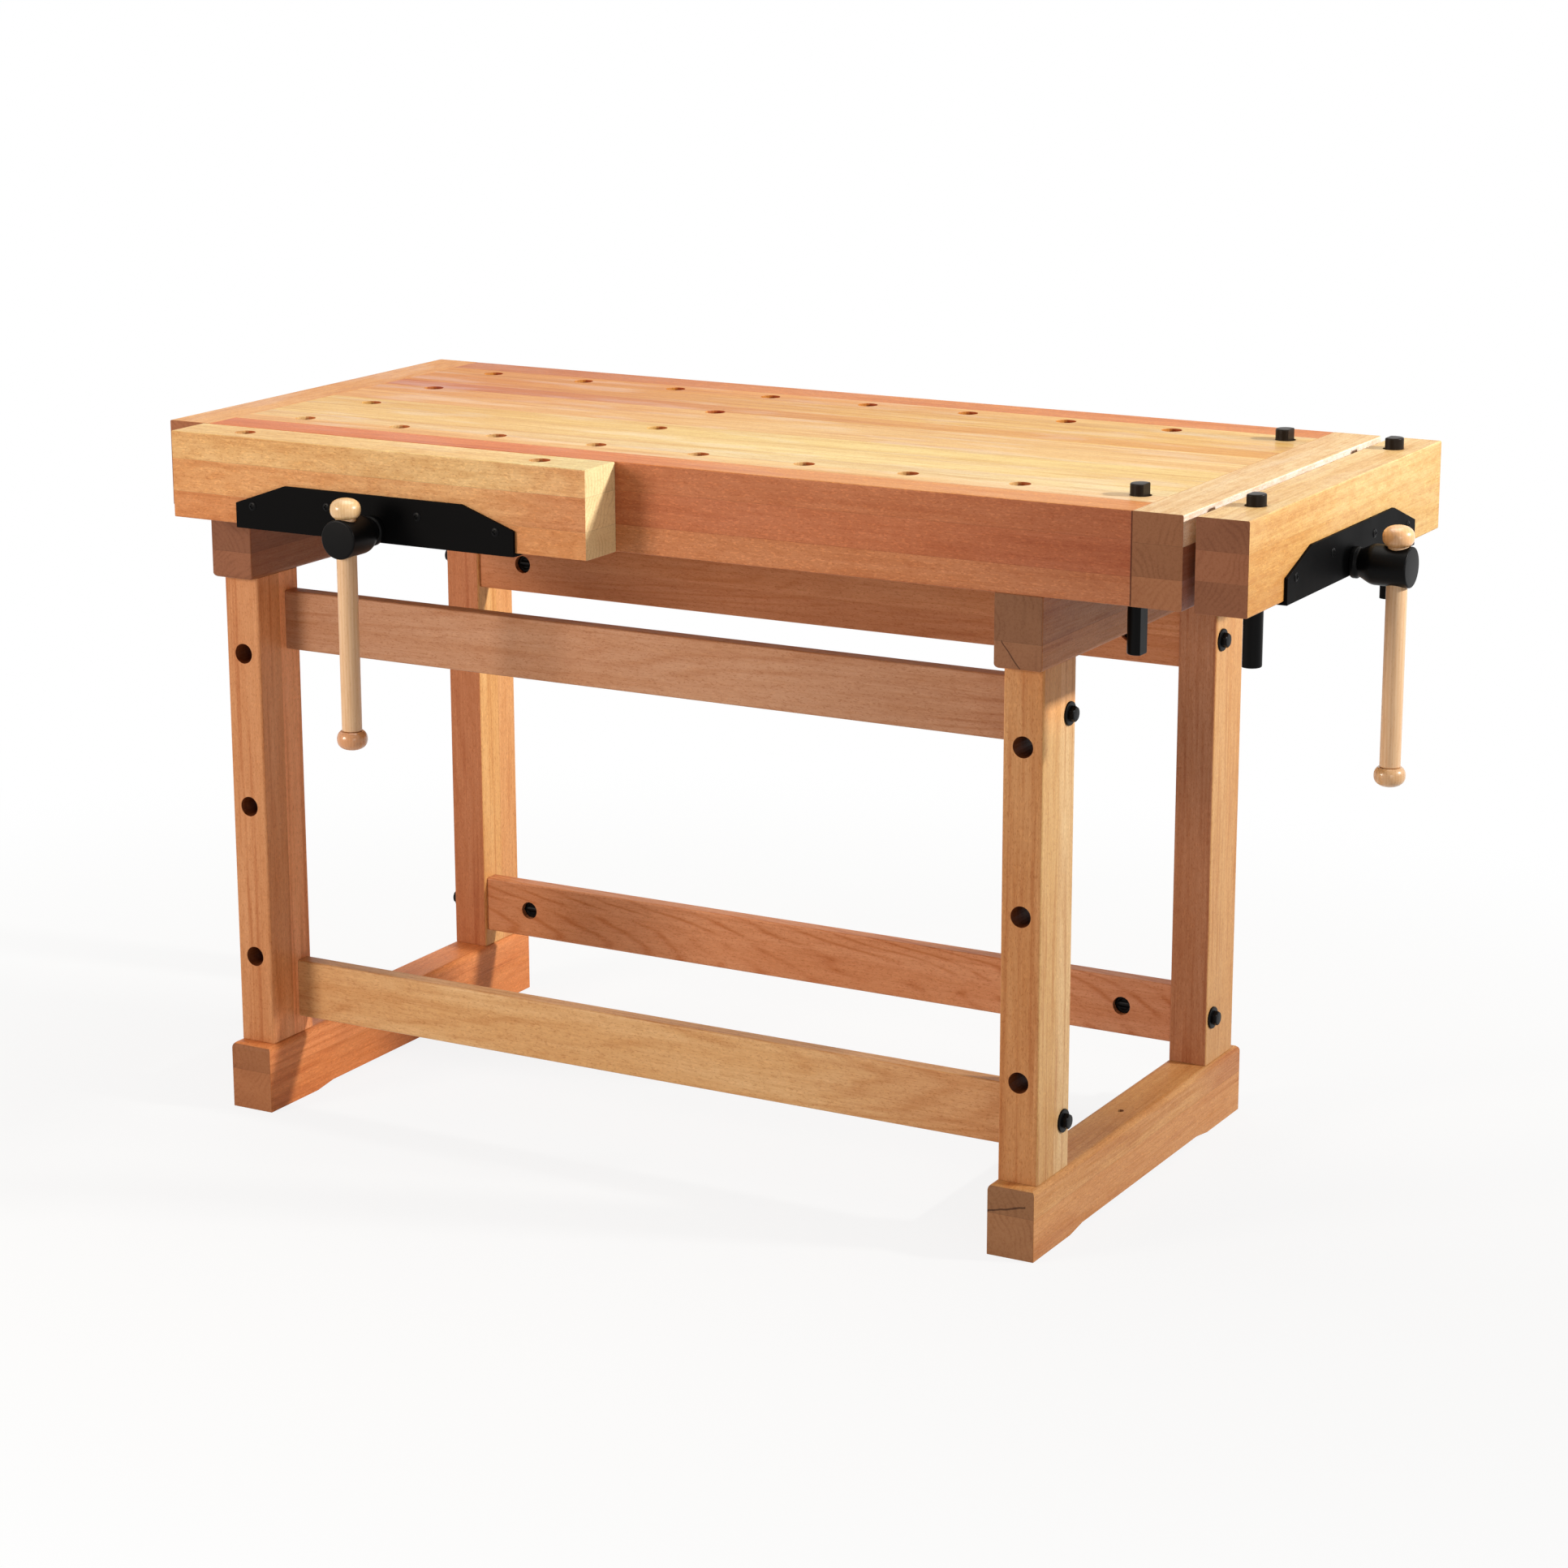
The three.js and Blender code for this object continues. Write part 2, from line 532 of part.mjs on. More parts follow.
// One vise in its own frame. options: jawLeft and jawRight from the screw, jawThickness, restGap,
// boardThickness that it passes through, and dogHoles along the jaw.
function buildVise(name, place, options) {
  const { jawLeft, jawRight, jawThickness, restGap, boardThickness, dogHoles } = options;
  const jawBack = -restGap;
  const jawFront = jawBack - jawThickness;
  const plateFront = jawFront - plateThickness;
  const bracketFace = boardThickness + glueLine;
  const bracketBack = bracketFace + bossLength;
  const innerEnd = bracketBack + viseTravel - restGap + screwSpare;
  const screwRadius = screwDiameter / 2;
  const guideRadius = guideDiameter / 2;

  const jawEase = Array(4).fill(boardEase);
  const jawOutline = roundedOutline(jawFront, jawBack, undersideZ, benchHeight, jawEase);
  const dogY = jawFront + jawThickness / 2;
  const collarBack = jawBack - collarSetback;
  const collarFront = collarBack - collarLength;
  const jaw = cut(solid(carried(jawOutline, 'x', jawLeft, jawRight)), [
    ...screwChannel(screwRadius + screwClearance, jawFront - overcut, jawBack + overcut).map(solid),
    ...screwChannel(collarDiameter / 2 + collarRoom, collarFront - collarRoom, jawBack + overcut).map(solid),
    ...guideBores(guideRadius + guideClearance, jawFront - overcut, jawBack + overcut).map(solid),
    ...dogHoles.map((x) => dogHole(x, dogY)),
  ]);

  const half = plateWidth / 2;
  const plateBottom = undersideZ - glueLine - plateThickness;
  const face = new THREE.Shape();
  face.moveTo(-half, plateBottom);
  face.lineTo(half, plateBottom);
  face.lineTo(half, undersideZ + plateShoulder);
  face.lineTo(half - plateCorner, undersideZ + plateRise);
  face.lineTo(plateCorner - half, undersideZ + plateRise);
  face.lineTo(-half, undersideZ + plateShoulder);
  const faceSheet = new THREE.ExtrudeGeometry(face, { depth: plateThickness, bevelEnabled: false });
  faceSheet.rotateX(Math.PI / 2);
  faceSheet.translate(0, jawFront - glueLine, 0);
  const flangeBack = dogY - dogHoleDiameter / 2 - flangeClearance;
  const flange = block(-half, half, plateFront, flangeBack, plateBottom, undersideZ - glueLine);
  const freeRadius = screwRadius + screwClearance;
  const plateHole = rod('y', freeRadius, plateFront - overcut, jawFront + overcut, hiddenSides);
  const plate = cut(join([solid(faceSheet), solid(flange)]), [solid(plateHole.translate(0, 0, screwZ))]);

  const hubRadius = hubDiameter / 2;
  const hubBack = plateFront - 2 * glueLine;
  const hubFront = plateFront - hubLength;
  const outward = (distance) => -(hubBack - distance);
  const profile = [
    [0, -innerEnd],
    [screwRadius - hubChamfer, -innerEnd],
    [screwRadius, hubChamfer - innerEnd],
    [screwRadius, outward(0)],
    [hubCollarDiameter / 2, outward(0)],
    [hubCollarDiameter / 2, outward(hubCollarLength)],
    [hubNeckDiameter / 2, outward(hubCollarLength + hubChamfer)],
    [hubRadius, outward(hubCone)],
    [hubRadius, -hubFront - hubChamfer],
    [hubRadius - hubChamfer, -hubFront],
    [0, -hubFront],
  ];
  const handleY = plateFront - handleStation;
  const spindle = turned(profile).rotateX(Math.PI / 2).translate(0, 0, screwZ);
  const handleBore = rod('z', (handleDiameter + handleClearance) / 2, -hubDiameter, hubDiameter);
  const screw = cut(solid(spindle), [solid(handleBore.translate(0, handleY, screwZ))]);

  const ring = rod('y', collarDiameter / 2, collarFront, collarBack, hiddenSides);
  const ringBore = rod('y', screwRadius + collarClearance, collarFront - overcut, collarBack + overcut);
  const collar = solid(ring.translate(0, 0, screwZ)).subtract(solid(ringBore.translate(0, 0, screwZ)));

  const bracketHalf = guideSpan / 2 + bracketMargin;
  const bracketTop = benchHeight - panelThickness - bracketDrop;
  const bracketBottom = undersideZ + glueLine;
  const bracketPlate = block(
    -bracketHalf, bracketHalf, bracketFace, bracketFace + bracketThickness, bracketBottom, bracketTop);
  const nutBoss = rod('y', nutBossDiameter / 2, bracketFace, bracketBack, hiddenSides);
  nutBoss.translate(0, 0, screwZ);
  const guideBosses = guideBores(guideBossDiameter / 2, bracketFace, bracketBack);
  const nutThread = rod('y', freeRadius, bracketFace - overcut, bracketBack + overcut, hiddenSides);
  const bracket = cut(join([bracketPlate, nutBoss, ...guideBosses].map(solid)), [
    solid(nutThread.translate(0, 0, screwZ)),
    ...guideBores(guideRadius + guideClearance, bracketFace - overcut, bracketBack + overcut).map(solid),
  ]);

  const guides = guideBores(guideRadius, jawFront + glueLine, innerEnd).map(solid);

  const knobSeat = screwZ + hubRadius + knobClearance;
  const handleTop = knobSeat - knobClearance;
  const handleBottom = handleTop - handleLength;
  const handleRadius = handleDiameter / 2;
  const tenonRadius = handleTenonDiameter / 2;
  const handle = solid(turned([
    [0, handleBottom - handleTenonLength],
    [tenonRadius, handleBottom - handleTenonLength],
    [tenonRadius, handleBottom],
    [handleRadius - handleChamfer, handleBottom],
    [handleRadius, handleBottom + handleChamfer],
    [handleRadius, handleTop - handleChamfer],
    [handleRadius - handleChamfer, handleTop],
    [tenonRadius, handleTop],
    [tenonRadius, handleTop + handleTenonLength],
    [0, handleTop + handleTenonLength],
  ], knobSides).translate(0, handleY, 0));

  const pieces = [
    piece(`${name}_jaw`, jaw, 'jawBeech'),
    piece(`${name}_plate`, plate, 'blackSteel'),
    piece(`${name}_screw`, screw, 'blackSteel'),
    piece(`${name}_collar`, collar, 'brightSteel'),
    piece(`${name}_bracket`, bracket, 'blackSteel'),
    piece(`${name}_left_guide`, guides[0], 'brightSteel'),
    piece(`${name}_right_guide`, guides[1], 'brightSteel'),
    piece(`${name}_handle`, handle, 'handleBeech'),
    piece(`${name}_top_knob`, buildKnob(handleY, knobSeat, 1), 'knobBeech'),
    piece(`${name}_bottom_knob`, buildKnob(handleY, handleBottom - knobClearance, -1), 'knobBeech'),
  ];
  const vise = new THREE.Group();
  vise.add(...pieces);
  vise.applyMatrix4(place);
  return vise;
}

// A knob with a socket for the handle: an oblate turned cap above its flat seat.
function buildKnob(y, seatZ, up) {
  const radius = knobDiameter / 2;
  const socketRadius = handleTenonDiameter / 2 + knobClearance;
  const socketDepth = handleTenonLength + knobClearance;
  const seatRadius = knobSeatDiameter / 2;
  const seatAngle = Math.acos(seatRadius / radius);
  const halfHeight = knobHeight / (1 + Math.sin(seatAngle));
  const middle = halfHeight * Math.sin(seatAngle);
  const arcSteps = 7;
  const arc = Array.from({ length: arcSteps + 1 }, (_, index) => {
    const angle = -seatAngle + (index / arcSteps) * (Math.PI / 2 + seatAngle);
    const onAxis = index === arcSteps;
    return [onAxis ? 0 : radius * Math.cos(angle), middle + halfHeight * Math.sin(angle)];
  });
  const profile = [[0, socketDepth], [socketRadius, socketDepth], [socketRadius, 0], ...arc];
  const cap = turned(profile, knobSides);
  if (up < 0) cap.rotateX(Math.PI);
  return solid(cap.translate(0, y, seatZ));
}

function buildBench() {
  const endJawX = topLength + endRestGap + endJawThickness / 2;
  const lastX = columns[columnCount - 1];
  const bench = new THREE.Group();
  bench.add(
    ...buildTop(),
    ...buildTrestle('left', leftLegX, leftHoleDrop),
    ...buildTrestle('right', rightLegX, 0),
    ...buildRails(),
    buildVise('front_vise', visePlaces.front, {
      jawLeft: frontJawLeft - frontScrewX,
      jawRight: frontJawLeft + frontJawLength - frontScrewX,
      jawThickness: frontJawThickness,
      restGap: frontRestGap,
      boardThickness: apronThickness,
      dogHoles: crossColumns.map((column) => columns[column] - frontScrewX),
    }),
    buildVise('end_vise', visePlaces.end, {
      jawLeft: -rowMiddle,
      jawRight: topWidth - rowMiddle,
      jawThickness: endJawThickness,
      restGap: endRestGap,
      boardThickness: endCapWidth,
      dogHoles: [frontRow - rowMiddle, backRow - rowMiddle],
    }),
    buildDog('front_bench_dog', lastX, frontRow, 1),
    buildDog('rear_bench_dog', lastX, backRow, 1),
    buildDog('front_jaw_dog', endJawX, frontRow, -1),
    buildDog('rear_jaw_dog', endJawX, backRow, -1),
  );
  const hardwareReach = plateThickness + Math.max(hubLength, handleStation + knobDiameter / 2);
  const rightEnd = topLength + endRestGap + endJawThickness + hardwareReach;
  const frontEnd = -(frontRestGap + frontJawThickness + hardwareReach);
  bench.position.set(-rightEnd / 2, -(frontEnd + footBack) / 2, 0);
  const whole = new THREE.Group();
  whole.add(bench);
  return whole;
}

export default buildBench();
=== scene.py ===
import json
import math

import bmesh
import bpy
import numpy as np
from mathutils import Matrix, Vector


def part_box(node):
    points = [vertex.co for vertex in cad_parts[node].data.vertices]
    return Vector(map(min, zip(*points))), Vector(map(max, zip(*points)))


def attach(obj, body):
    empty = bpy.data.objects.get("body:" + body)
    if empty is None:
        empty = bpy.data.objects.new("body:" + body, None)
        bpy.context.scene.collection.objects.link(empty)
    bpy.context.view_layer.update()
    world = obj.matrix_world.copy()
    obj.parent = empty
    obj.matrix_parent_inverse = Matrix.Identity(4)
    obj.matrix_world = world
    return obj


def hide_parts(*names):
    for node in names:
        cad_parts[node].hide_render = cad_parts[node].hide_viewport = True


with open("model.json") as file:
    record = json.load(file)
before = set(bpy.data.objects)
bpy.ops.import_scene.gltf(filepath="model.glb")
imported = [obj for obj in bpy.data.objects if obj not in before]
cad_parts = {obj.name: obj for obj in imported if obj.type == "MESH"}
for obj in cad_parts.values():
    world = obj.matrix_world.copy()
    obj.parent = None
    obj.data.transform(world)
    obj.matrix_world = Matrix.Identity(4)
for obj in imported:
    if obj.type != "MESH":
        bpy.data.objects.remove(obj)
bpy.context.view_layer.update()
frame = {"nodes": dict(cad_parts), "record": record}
bodies = frame["record"]["behaviour"]["bodies"]
bodyOf = {node: body for body, nodes in bodies.items() for node in nodes}
mm = 0.001
print("frame loaded:", len(bodyOf), "nodes")


# Shader maths: a wrapped socket, so that a finish is written as an expression

def operator(operation):  # the operator and its reflected form
    def forward(self, other):
        return self.tree.add("ShaderNodeMath", {"operation": operation}, [self, other])

    def reflected(self, other):
        return self.tree.add("ShaderNodeMath", {"operation": operation}, [other, self])
    return forward, reflected


class Value:
    __add__, __radd__ = operator("ADD")
    __sub__, __rsub__ = operator("SUBTRACT")
    __mul__, __rmul__ = operator("MULTIPLY")
    __truediv__, __rtruediv__ = operator("DIVIDE")
    __pow__, __rpow__ = operator("POWER")
    above = operator("GREATER_THAN")[0]
    under = operator("LESS_THAN")[0]
    larger = operator("MAXIMUM")[0]

    def __init__(self, tree, socket):
        self.tree, self.socket = tree, socket

    def __abs__(self):
        return self.tree.add("ShaderNodeMath", {"operation": "ABSOLUTE"}, [self])

    def sine(self):
        return self.tree.add("ShaderNodeMath", {"operation": "SINE"}, [self])

    def between(self, low, high):  # 0 below low, 1 above high, smooth between
        settings = {"interpolation_type": "SMOOTHSTEP"}
        sockets = {"Value": self, "From Min": low, "From Max": high}
        return self.tree.add("ShaderNodeMapRange", settings, sockets)

    def output(self, name):  # another output of the same node
        return Value(self.tree, self.socket.node.outputs[name])


class Tree:
    def __init__(self, owner):
        owner.use_nodes = True
        self.nodes, self.links = owner.node_tree.nodes, owner.node_tree.links

    def add(self, kind, settings=None, sockets=(), out=0):
        # every node: its type, its settings first, then the values or links of its sockets
        node = self.nodes.new(kind)
        for key, value in (settings or {}).items():
            if key == "stops":
                self.fillRamp(node.color_ramp, value)
            else:
                setattr(node, key, value)
        for key, value in (sockets.items() if isinstance(sockets, dict) else enumerate(sockets)):
            if isinstance(value, Value):
                self.links.new(value.socket, node.inputs[key])
            else:
                node.inputs[key].default_value = value
        return Value(self, node.outputs[out])

    def fillRamp(self, ramp, stops):
        ramp.interpolation = "CONSTANT"
        while len(ramp.elements) < len(stops):
            ramp.elements.new(1.0)
        for element, (position, colour) in zip(ramp.elements, stops):
            element.position, element.color = position, colour

    def join(self, value, node, socket):
        self.links.new(value.socket, self.nodes[node].inputs[socket])


class Paint(Tree):
    def __init__(self, name, **constants):
        self.material = bpy.data.materials.new(name)
        super().__init__(self.material)
        for socket, value in constants.items():
            self.nodes["Principled BSDF"].inputs[socket.replace("_", " ")].default_value = value

    def feed(self, socket, value):
        self.join(value, "Principled BSDF", socket)

    def split(self, vector):
        parts = self.add("ShaderNodeSeparateXYZ", None, [vector])
        return {axis: parts.output(axis.upper()) for axis in "xyz"}

    def spot(self):
        return self.split(self.add("ShaderNodeTexCoord", out="Object"))

    def noise(self, x, y, z, detail=2.0):
        vector = self.add("ShaderNodeCombineXYZ", None, [x, y, z])
        return self.add("ShaderNodeTexNoise", None, {"Vector": vector, "Scale": 1.0, "Detail": detail})

    def tint(self, colour, tone, amount, blend="MULTIPLY"):
        # multiplies colour by tone, or mixes tone in, by an amount from 0 to 1
        settings = {"data_type": "RGBA", "blend_type": blend, "clamp_factor": True}
        colour, tone = (c if isinstance(c, Value) else (*c, 1) for c in (colour, tone))
        return self.add("ShaderNodeMix", settings, {0: amount, 6: colour, 7: tone}, out=2)

    def bump(self, height, strength, distance):
        sockets = {"Strength": strength, "Distance": distance, "Height": height}
        self.feed("Normal", self.add("ShaderNodeBump", None, sockets))


def linear(code):  # "#rrggbb" as the eye sees it, to the linear colour that shaders use
    values = np.array([int(code[i:i + 2], 16) for i in (1, 3, 5)]) / 255
    return tuple(np.where(values > 0.04045, ((values + 0.055) / 1.055) ** 2.4, values / 12.92))


# Beech: staves in their own tones, growth lines, veins, fibre and ray flecks, darker on end grain; also
# painted light and shade by face, along the length and in the holes

beechSettings = {
    "glueLine": 0.30 * mm,
    "glueDark": 0.84,
    "archSpacing": 9.0 * mm,
    "ringSpacing": 7.5 * mm,
    "growthTint": (0.78, 0.60, 0.43),
    "cloudTint": (0.84, 0.68, 0.50),
    "veinTint": (0.74, 0.54, 0.39),
    "paleTint": (1.09, 1.16, 1.25),
    "mottleTint": (0.84, 0.68, 0.50),
    "rayTint": (1.25, 1.30, 1.28),
    "fibreTint": (0.80, 0.66, 0.50),
    "speckleTint": (0.74, 0.56, 0.40),
    "fleckTint": (0.62, 0.43, 0.29),
    "smokeTint": (0.72, 0.62, 0.54),
    "ringTint": (0.58, 0.46, 0.38),
    "gritTint": (0.70, 0.58, 0.48),
    "checkTint": (0.22, 0.16, 0.12),
    "seamTint": (0.26, 0.20, 0.16),
    "seamWidth": 1.5 * mm,
    # painted shade for the walls inside the holes
    "uprightBorePaintedShade": (0.70, 0.30, 0.17),
    "levelBorePaintedShade": (0.34, 0.21, 0.15),
    "boreRadius": 13.2 * mm,
    "pithSpread": 0.10,  # how far to either side of the board's middle the pith may lie
    "pithDepth": (0.035, 0.07),  # how far behind it, at least and by chance
    "wander": (0.040, 0.004),  # how far the rings stray, in long waves and in short ones
    "checkWaver": 0.03,
    "checkWidth": (0.006, 0.022),
    "roughness": (0.44, 0.10, 0.14),  # of the face, what the fibre adds, what end grain adds
    "pores": (0.3, 0.15 * mm),
}
figureMarks = ("arch", "taper", "sharp", "vein", "pale", "mottle", "ray", "sheen")
figures = {
    "panel": (0.22, 0.03, 2, 0.50, 0.60, 0.15, 0.20, 0.40),
    "apron": (0.20, 0.03, 2, 0.35, 0.25, 0.25, 0.80, 0.10),
    "cap": (0.20, 0.03, 2, 0.35, 0.35, 0.45, 0.35, 0.25),
    "jaw": (0.12, 0.03, 2, 0.35, 0.45, 0.42, 0.55, 0.15),
    "leg": (0.25, 0.03, 2, 0.65, 0.45, 0.12, 0.40, 0.0),
    "rail": (0.45, 0.06, 3, 0.28, 0.20, 0.15, 0.25, 0.0),
    "flame": (0.85, 0.12, 5, 0.15, 0.20, 0.15, 0.25, 0.0),
    "foot": (0.35, 0.05, 3, 0.50, 0.30, 0.20, 0.50, 0.0),
}  # how much each kind of cut shows of every mark, how steeply its rings taper and how sharp they are



def boresOf(node):
    # the holes that the record names inside this board: the line that each runs along, and its way
    low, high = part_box(node)
    found = []
    for opening in frame["record"]["physics"]["openings"]:
        corners = np.array(opening["box_m"])
        middle, size = corners.mean(axis=0), corners[1] - corners[0]
        if "hole" in opening["name"] and all(a < m < b for a, m, b in zip(low, middle, high)):
            way = "xyz"[int(np.argmax(size))]
            found.append((way, {axis: value for axis, value in zip("xyz", middle) if axis != way}))
    return found


def beech(name, node, axes, staves, seed, kind):
    # axes: grain, stave direction, depth; staves: (start as a share of the board, colour)
    low, high = (dict(zip("xyz", corner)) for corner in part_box(node))
    width = high[axes[1]] - low[axes[1]]
    figure, tones = dict(zip(figureMarks, figures[kind])), beechSettings
    paint = Paint(name, Specular_IOR_Level=0.22, Coat_Roughness=0.24)
    spot = paint.spot()
    facing = paint.split(paint.add("ShaderNodeAttribute", {"attribute_name": "facing"}, out="Vector"))
    along, across, depth = (spot[axis] for axis in axes)

    endTone, shades = endTones.get(node, (endTones["other"], [1.0] * len(staves)))
    line = tones["glueLine"] / width
    stops = []
    for (start, code), shade in zip(staves, shades):
        colour = np.array(linear(code))
        if start > 0:
            stops.append((start - line, (*(colour * tones["glueDark"]), shade * tones["glueDark"])))
        stops.append((start + line if start > 0 else 0.0, (*colour, shade)))
    stops.append((1.0, stops[-1][1]))
    length = (along - low[axes[0]]) / (high[axes[0]] - low[axes[0]])
    stave = (across - low[axes[1]]) / width
    colour = paint.add("ShaderNodeValToRGB", {"stops": stops}, [stave])
    endShade = colour.output("Alpha")
    number = across * 0 + seed
    for start, _ in staves[1:]:
        number = number + across.above(low[axes[1]] + start * width)

    def chance(salt):  # one number from 0 to 1 for each stave
        return paint.add("ShaderNodeTexWhiteNoise", {"noise_dimensions": "1D"}, {"W": number + salt})

    def streak(perAlong, perAcross, detail=2.0):  # noise drawn out along the grain, other in each stave
        return paint.noise(along * perAlong + number * 3.7, across * perAcross + number * 5.3,
                           depth * perAcross, detail)

    # growth rings are cones round a pith that lies off the stave, so a face cuts them in arches
    nearest, further = tones["pithDepth"]
    longWave, shortWave = tones["wander"]
    aside = across - (low[axes[1]] + high[axes[1]]) / 2 + (chance(0.5) - 0.5) * tones["pithSpread"]
    below = depth - (low[axes[2]] + high[axes[2]]) / 2 + nearest + chance(0.7) * further
    radius = (aside * aside + below * below) ** 0.5 + along * figure["taper"]
    radius = radius + (streak(2.2, 14, 1.0) - 0.5) * longWave + (streak(14, 70, 1.0) - 0.5) * shortWave

    def growth(spacing, sharpness):
        return ((radius * (2 * math.pi / spacing)).sine() * 0.5 + 0.5) ** sharpness

    def withinBore(place):  # 1 nearer to the hole's middle line than its wall is
        squares = sum((spot[axis] - value) ** 2 for axis, value in place.items())
        return (squares ** 0.5).under(tones["boreRadius"])

    bores = boresOf(node)
    inBore = sum(withinBore(place) for _, place in bores)
    end = abs(facing[axes[0]]).between(0.55, 0.8) * (1 - inBore)
    side = 1 - end
    fibre = streak(13, 480).between(0.40, 0.72)
    fleck = streak(260, 700, 1.0).between(0.57, 0.69)
    arches = growth(tones["archSpacing"], figure["sharp"]) * streak(3.1, 40).between(0.35, 0.62)
    sideMarks = [
        ("cloudTint", streak(2.1, 24).between(0.36, 0.68), 0.55),
        ("veinTint", streak(3.4, 120, 3.0).between(0.50, 0.70), figure["vein"]),
        ("paleTint", streak(4.1, 95, 3.0).between(0.52, 0.70), figure["pale"]),
        ("growthTint", arches, figure["arch"]),
        ("mottleTint", streak(38, 92, 3.0).between(0.42, 0.64), figure["mottle"]),
        ("fibreTint", fibre, 0.30),
        ("speckleTint", streak(85, 230).between(0.50, 0.72), 0.27),
        ("rayTint", streak(170, 460, 1.0).between(0.54, 0.68), figure["ray"]),
        ("fleckTint", fleck, 0.40),
    ]
    for mark, mask, amount in sideMarks:
        colour = paint.tint(colour, tones[mark], mask * side * amount)

    def crack(check):
        # nearness to a wavering line between two points of the end, fading past the crack's half width
        v0, u0, v1, u1 = check
        u = (depth - low[axes[2]]) / (high[axes[2]] - low[axes[2]])
        share = (u - u0) / (u1 - u0)
        gap = abs(stave - (v0 + share * (v1 - v0)) + (streak(1, 90, 1.0) - 0.5) * tones["checkWaver"])
        inside = share.above(0.0) * share.under(1.0) * facing[axes[0]].under(0.0)
        return (1 - gap.between(*tones["checkWidth"])) * inside

    rings = growth(tones["ringSpacing"], 3.0) * streak(1.0, 34).between(0.34, 0.66)
    endMarks = [
        ("smokeTint", streak(1.0, 16).between(0.42, 0.66), 0.30),
        ("ringTint", rings, 0.34),
        ("gritTint", streak(1.0, 380, 3.0).between(0.45, 0.68), 0.35),
    ]
    endMarks += [("checkTint", crack(check), 0.9) for check in dryingChecks.get(node, [])]
    endColour = paint.tint(linear(endTone), (0, 0, 0), 1 - endShade)
    for mark, mask, amount in endMarks:
        endColour = paint.tint(endColour, tones[mark], mask * amount)
    colour = paint.tint(colour, endColour, end, "MIX")
    # painted light and shade: each listed face is tinted by the way it faces
    for axis, tone in paintedLightByFace.get(node, {}).items():
        colour = paint.tint(colour, tone, facing[axis].between(0.5, 0.8) * (1 - inBore))
    # tints along the length, partly painted light: pale sheen highlights on the tops and light in a leg's
    # shade
    for (axis, way), (first, last), tone, start, stop in lengthTintsAndPaintedLight.get(node, []):
        shown = (facing[axis] * way).between(0.5, 0.8) * (1 - inBore)
        shown = shown * stave.above(first) * stave.under(last)
        colour = paint.tint(colour, tone, length.between(start, stop) * shown)
    # painted shade inside the holes: the bore walls darkened, save that the upright holes' walls facing +x
    # stay light as painted light
    if bores and bores[0][0] == "z":
        colour = paint.tint(colour, tones["uprightBorePaintedShade"], inBore * (1 - facing["x"].between(0.2, 0.7)))
    elif bores:
        colour = paint.tint(colour, tones["levelBorePaintedShade"], inBore)
    for axis, edge, shownOn in seams.get(node, []):
        near = abs(spot[axis] - (low if edge < 0 else high)[axis]).under(tones["seamWidth"])
        colour = paint.tint(colour, tones["seamTint"], near * abs(facing[shownOn]).between(0.5, 0.8))
    paint.feed("Base Color", colour)
    face, inFibre, onEnd = tones["roughness"]
    paint.feed("Roughness", face + fibre * inFibre + end * onEnd)
    paint.feed("Coat Weight", streak(6, 26).between(0.50, 0.66) * side * figure["sheen"])
    paint.bump(fibre * -0.4 - fleck * 0.6, *tones["pores"])
    return paint.material


# Steel and turned wood

steelSettings = {
    "black": (0.0025, 0.0025, 0.0027),
    "bright": (0.55, 0.55, 0.56),
    "dullTint": (0.55, 0.54, 0.53),
    "grit": (0.18, 0.12 * mm),
    "smear": 0.22,
}
turnedSettings = {
    "ringTint": (0.84, 0.68, 0.50),
    "fibreTint": (0.80, 0.64, 0.47),
    "fleckTint": (0.70, 0.52, 0.36),
    "roughness": (0.36, 0.10),
    "pores": (0.2, 0.1 * mm),
}


def blackSteel(name, roughness, level, paintedLitTop=None):
    # paintedLitTop: painted light, a lighter tone on the upper end that stands in for the light on the part
    # above the bench top, and the heights between which it sets in
    black = steelSettings["black"]
    paint = Paint(name, Base_Color=(*black, 1), Specular_IOR_Level=level)
    spot = paint.spot()
    if paintedLitTop:
        tone, start, stop = paintedLitTop
        paint.feed("Base Color", paint.tint(black, tone, spot["z"].between(start, stop), "MIX"))
    grit = paint.noise(*(value * 900 for value in spot.values()))
    smear = paint.noise(*(value * 18 for value in spot.values()), 3.0)
    paint.feed("Roughness", roughness + (smear - 0.5) * steelSettings["smear"])
    paint.bump(grit, *steelSettings["grit"])
    return paint.material


def brightSteel(name):
    paint = Paint(name, Metallic=1.0)
    smear = paint.noise(*(value * 60 for value in paint.spot().values()), 4.0)
    colour = paint.tint(steelSettings["bright"], steelSettings["dullTint"], smear.between(0.35, 0.7))
    paint.feed("Base Color", colour)
    paint.feed("Roughness", 0.24 + smear * 0.2)
    return paint.material


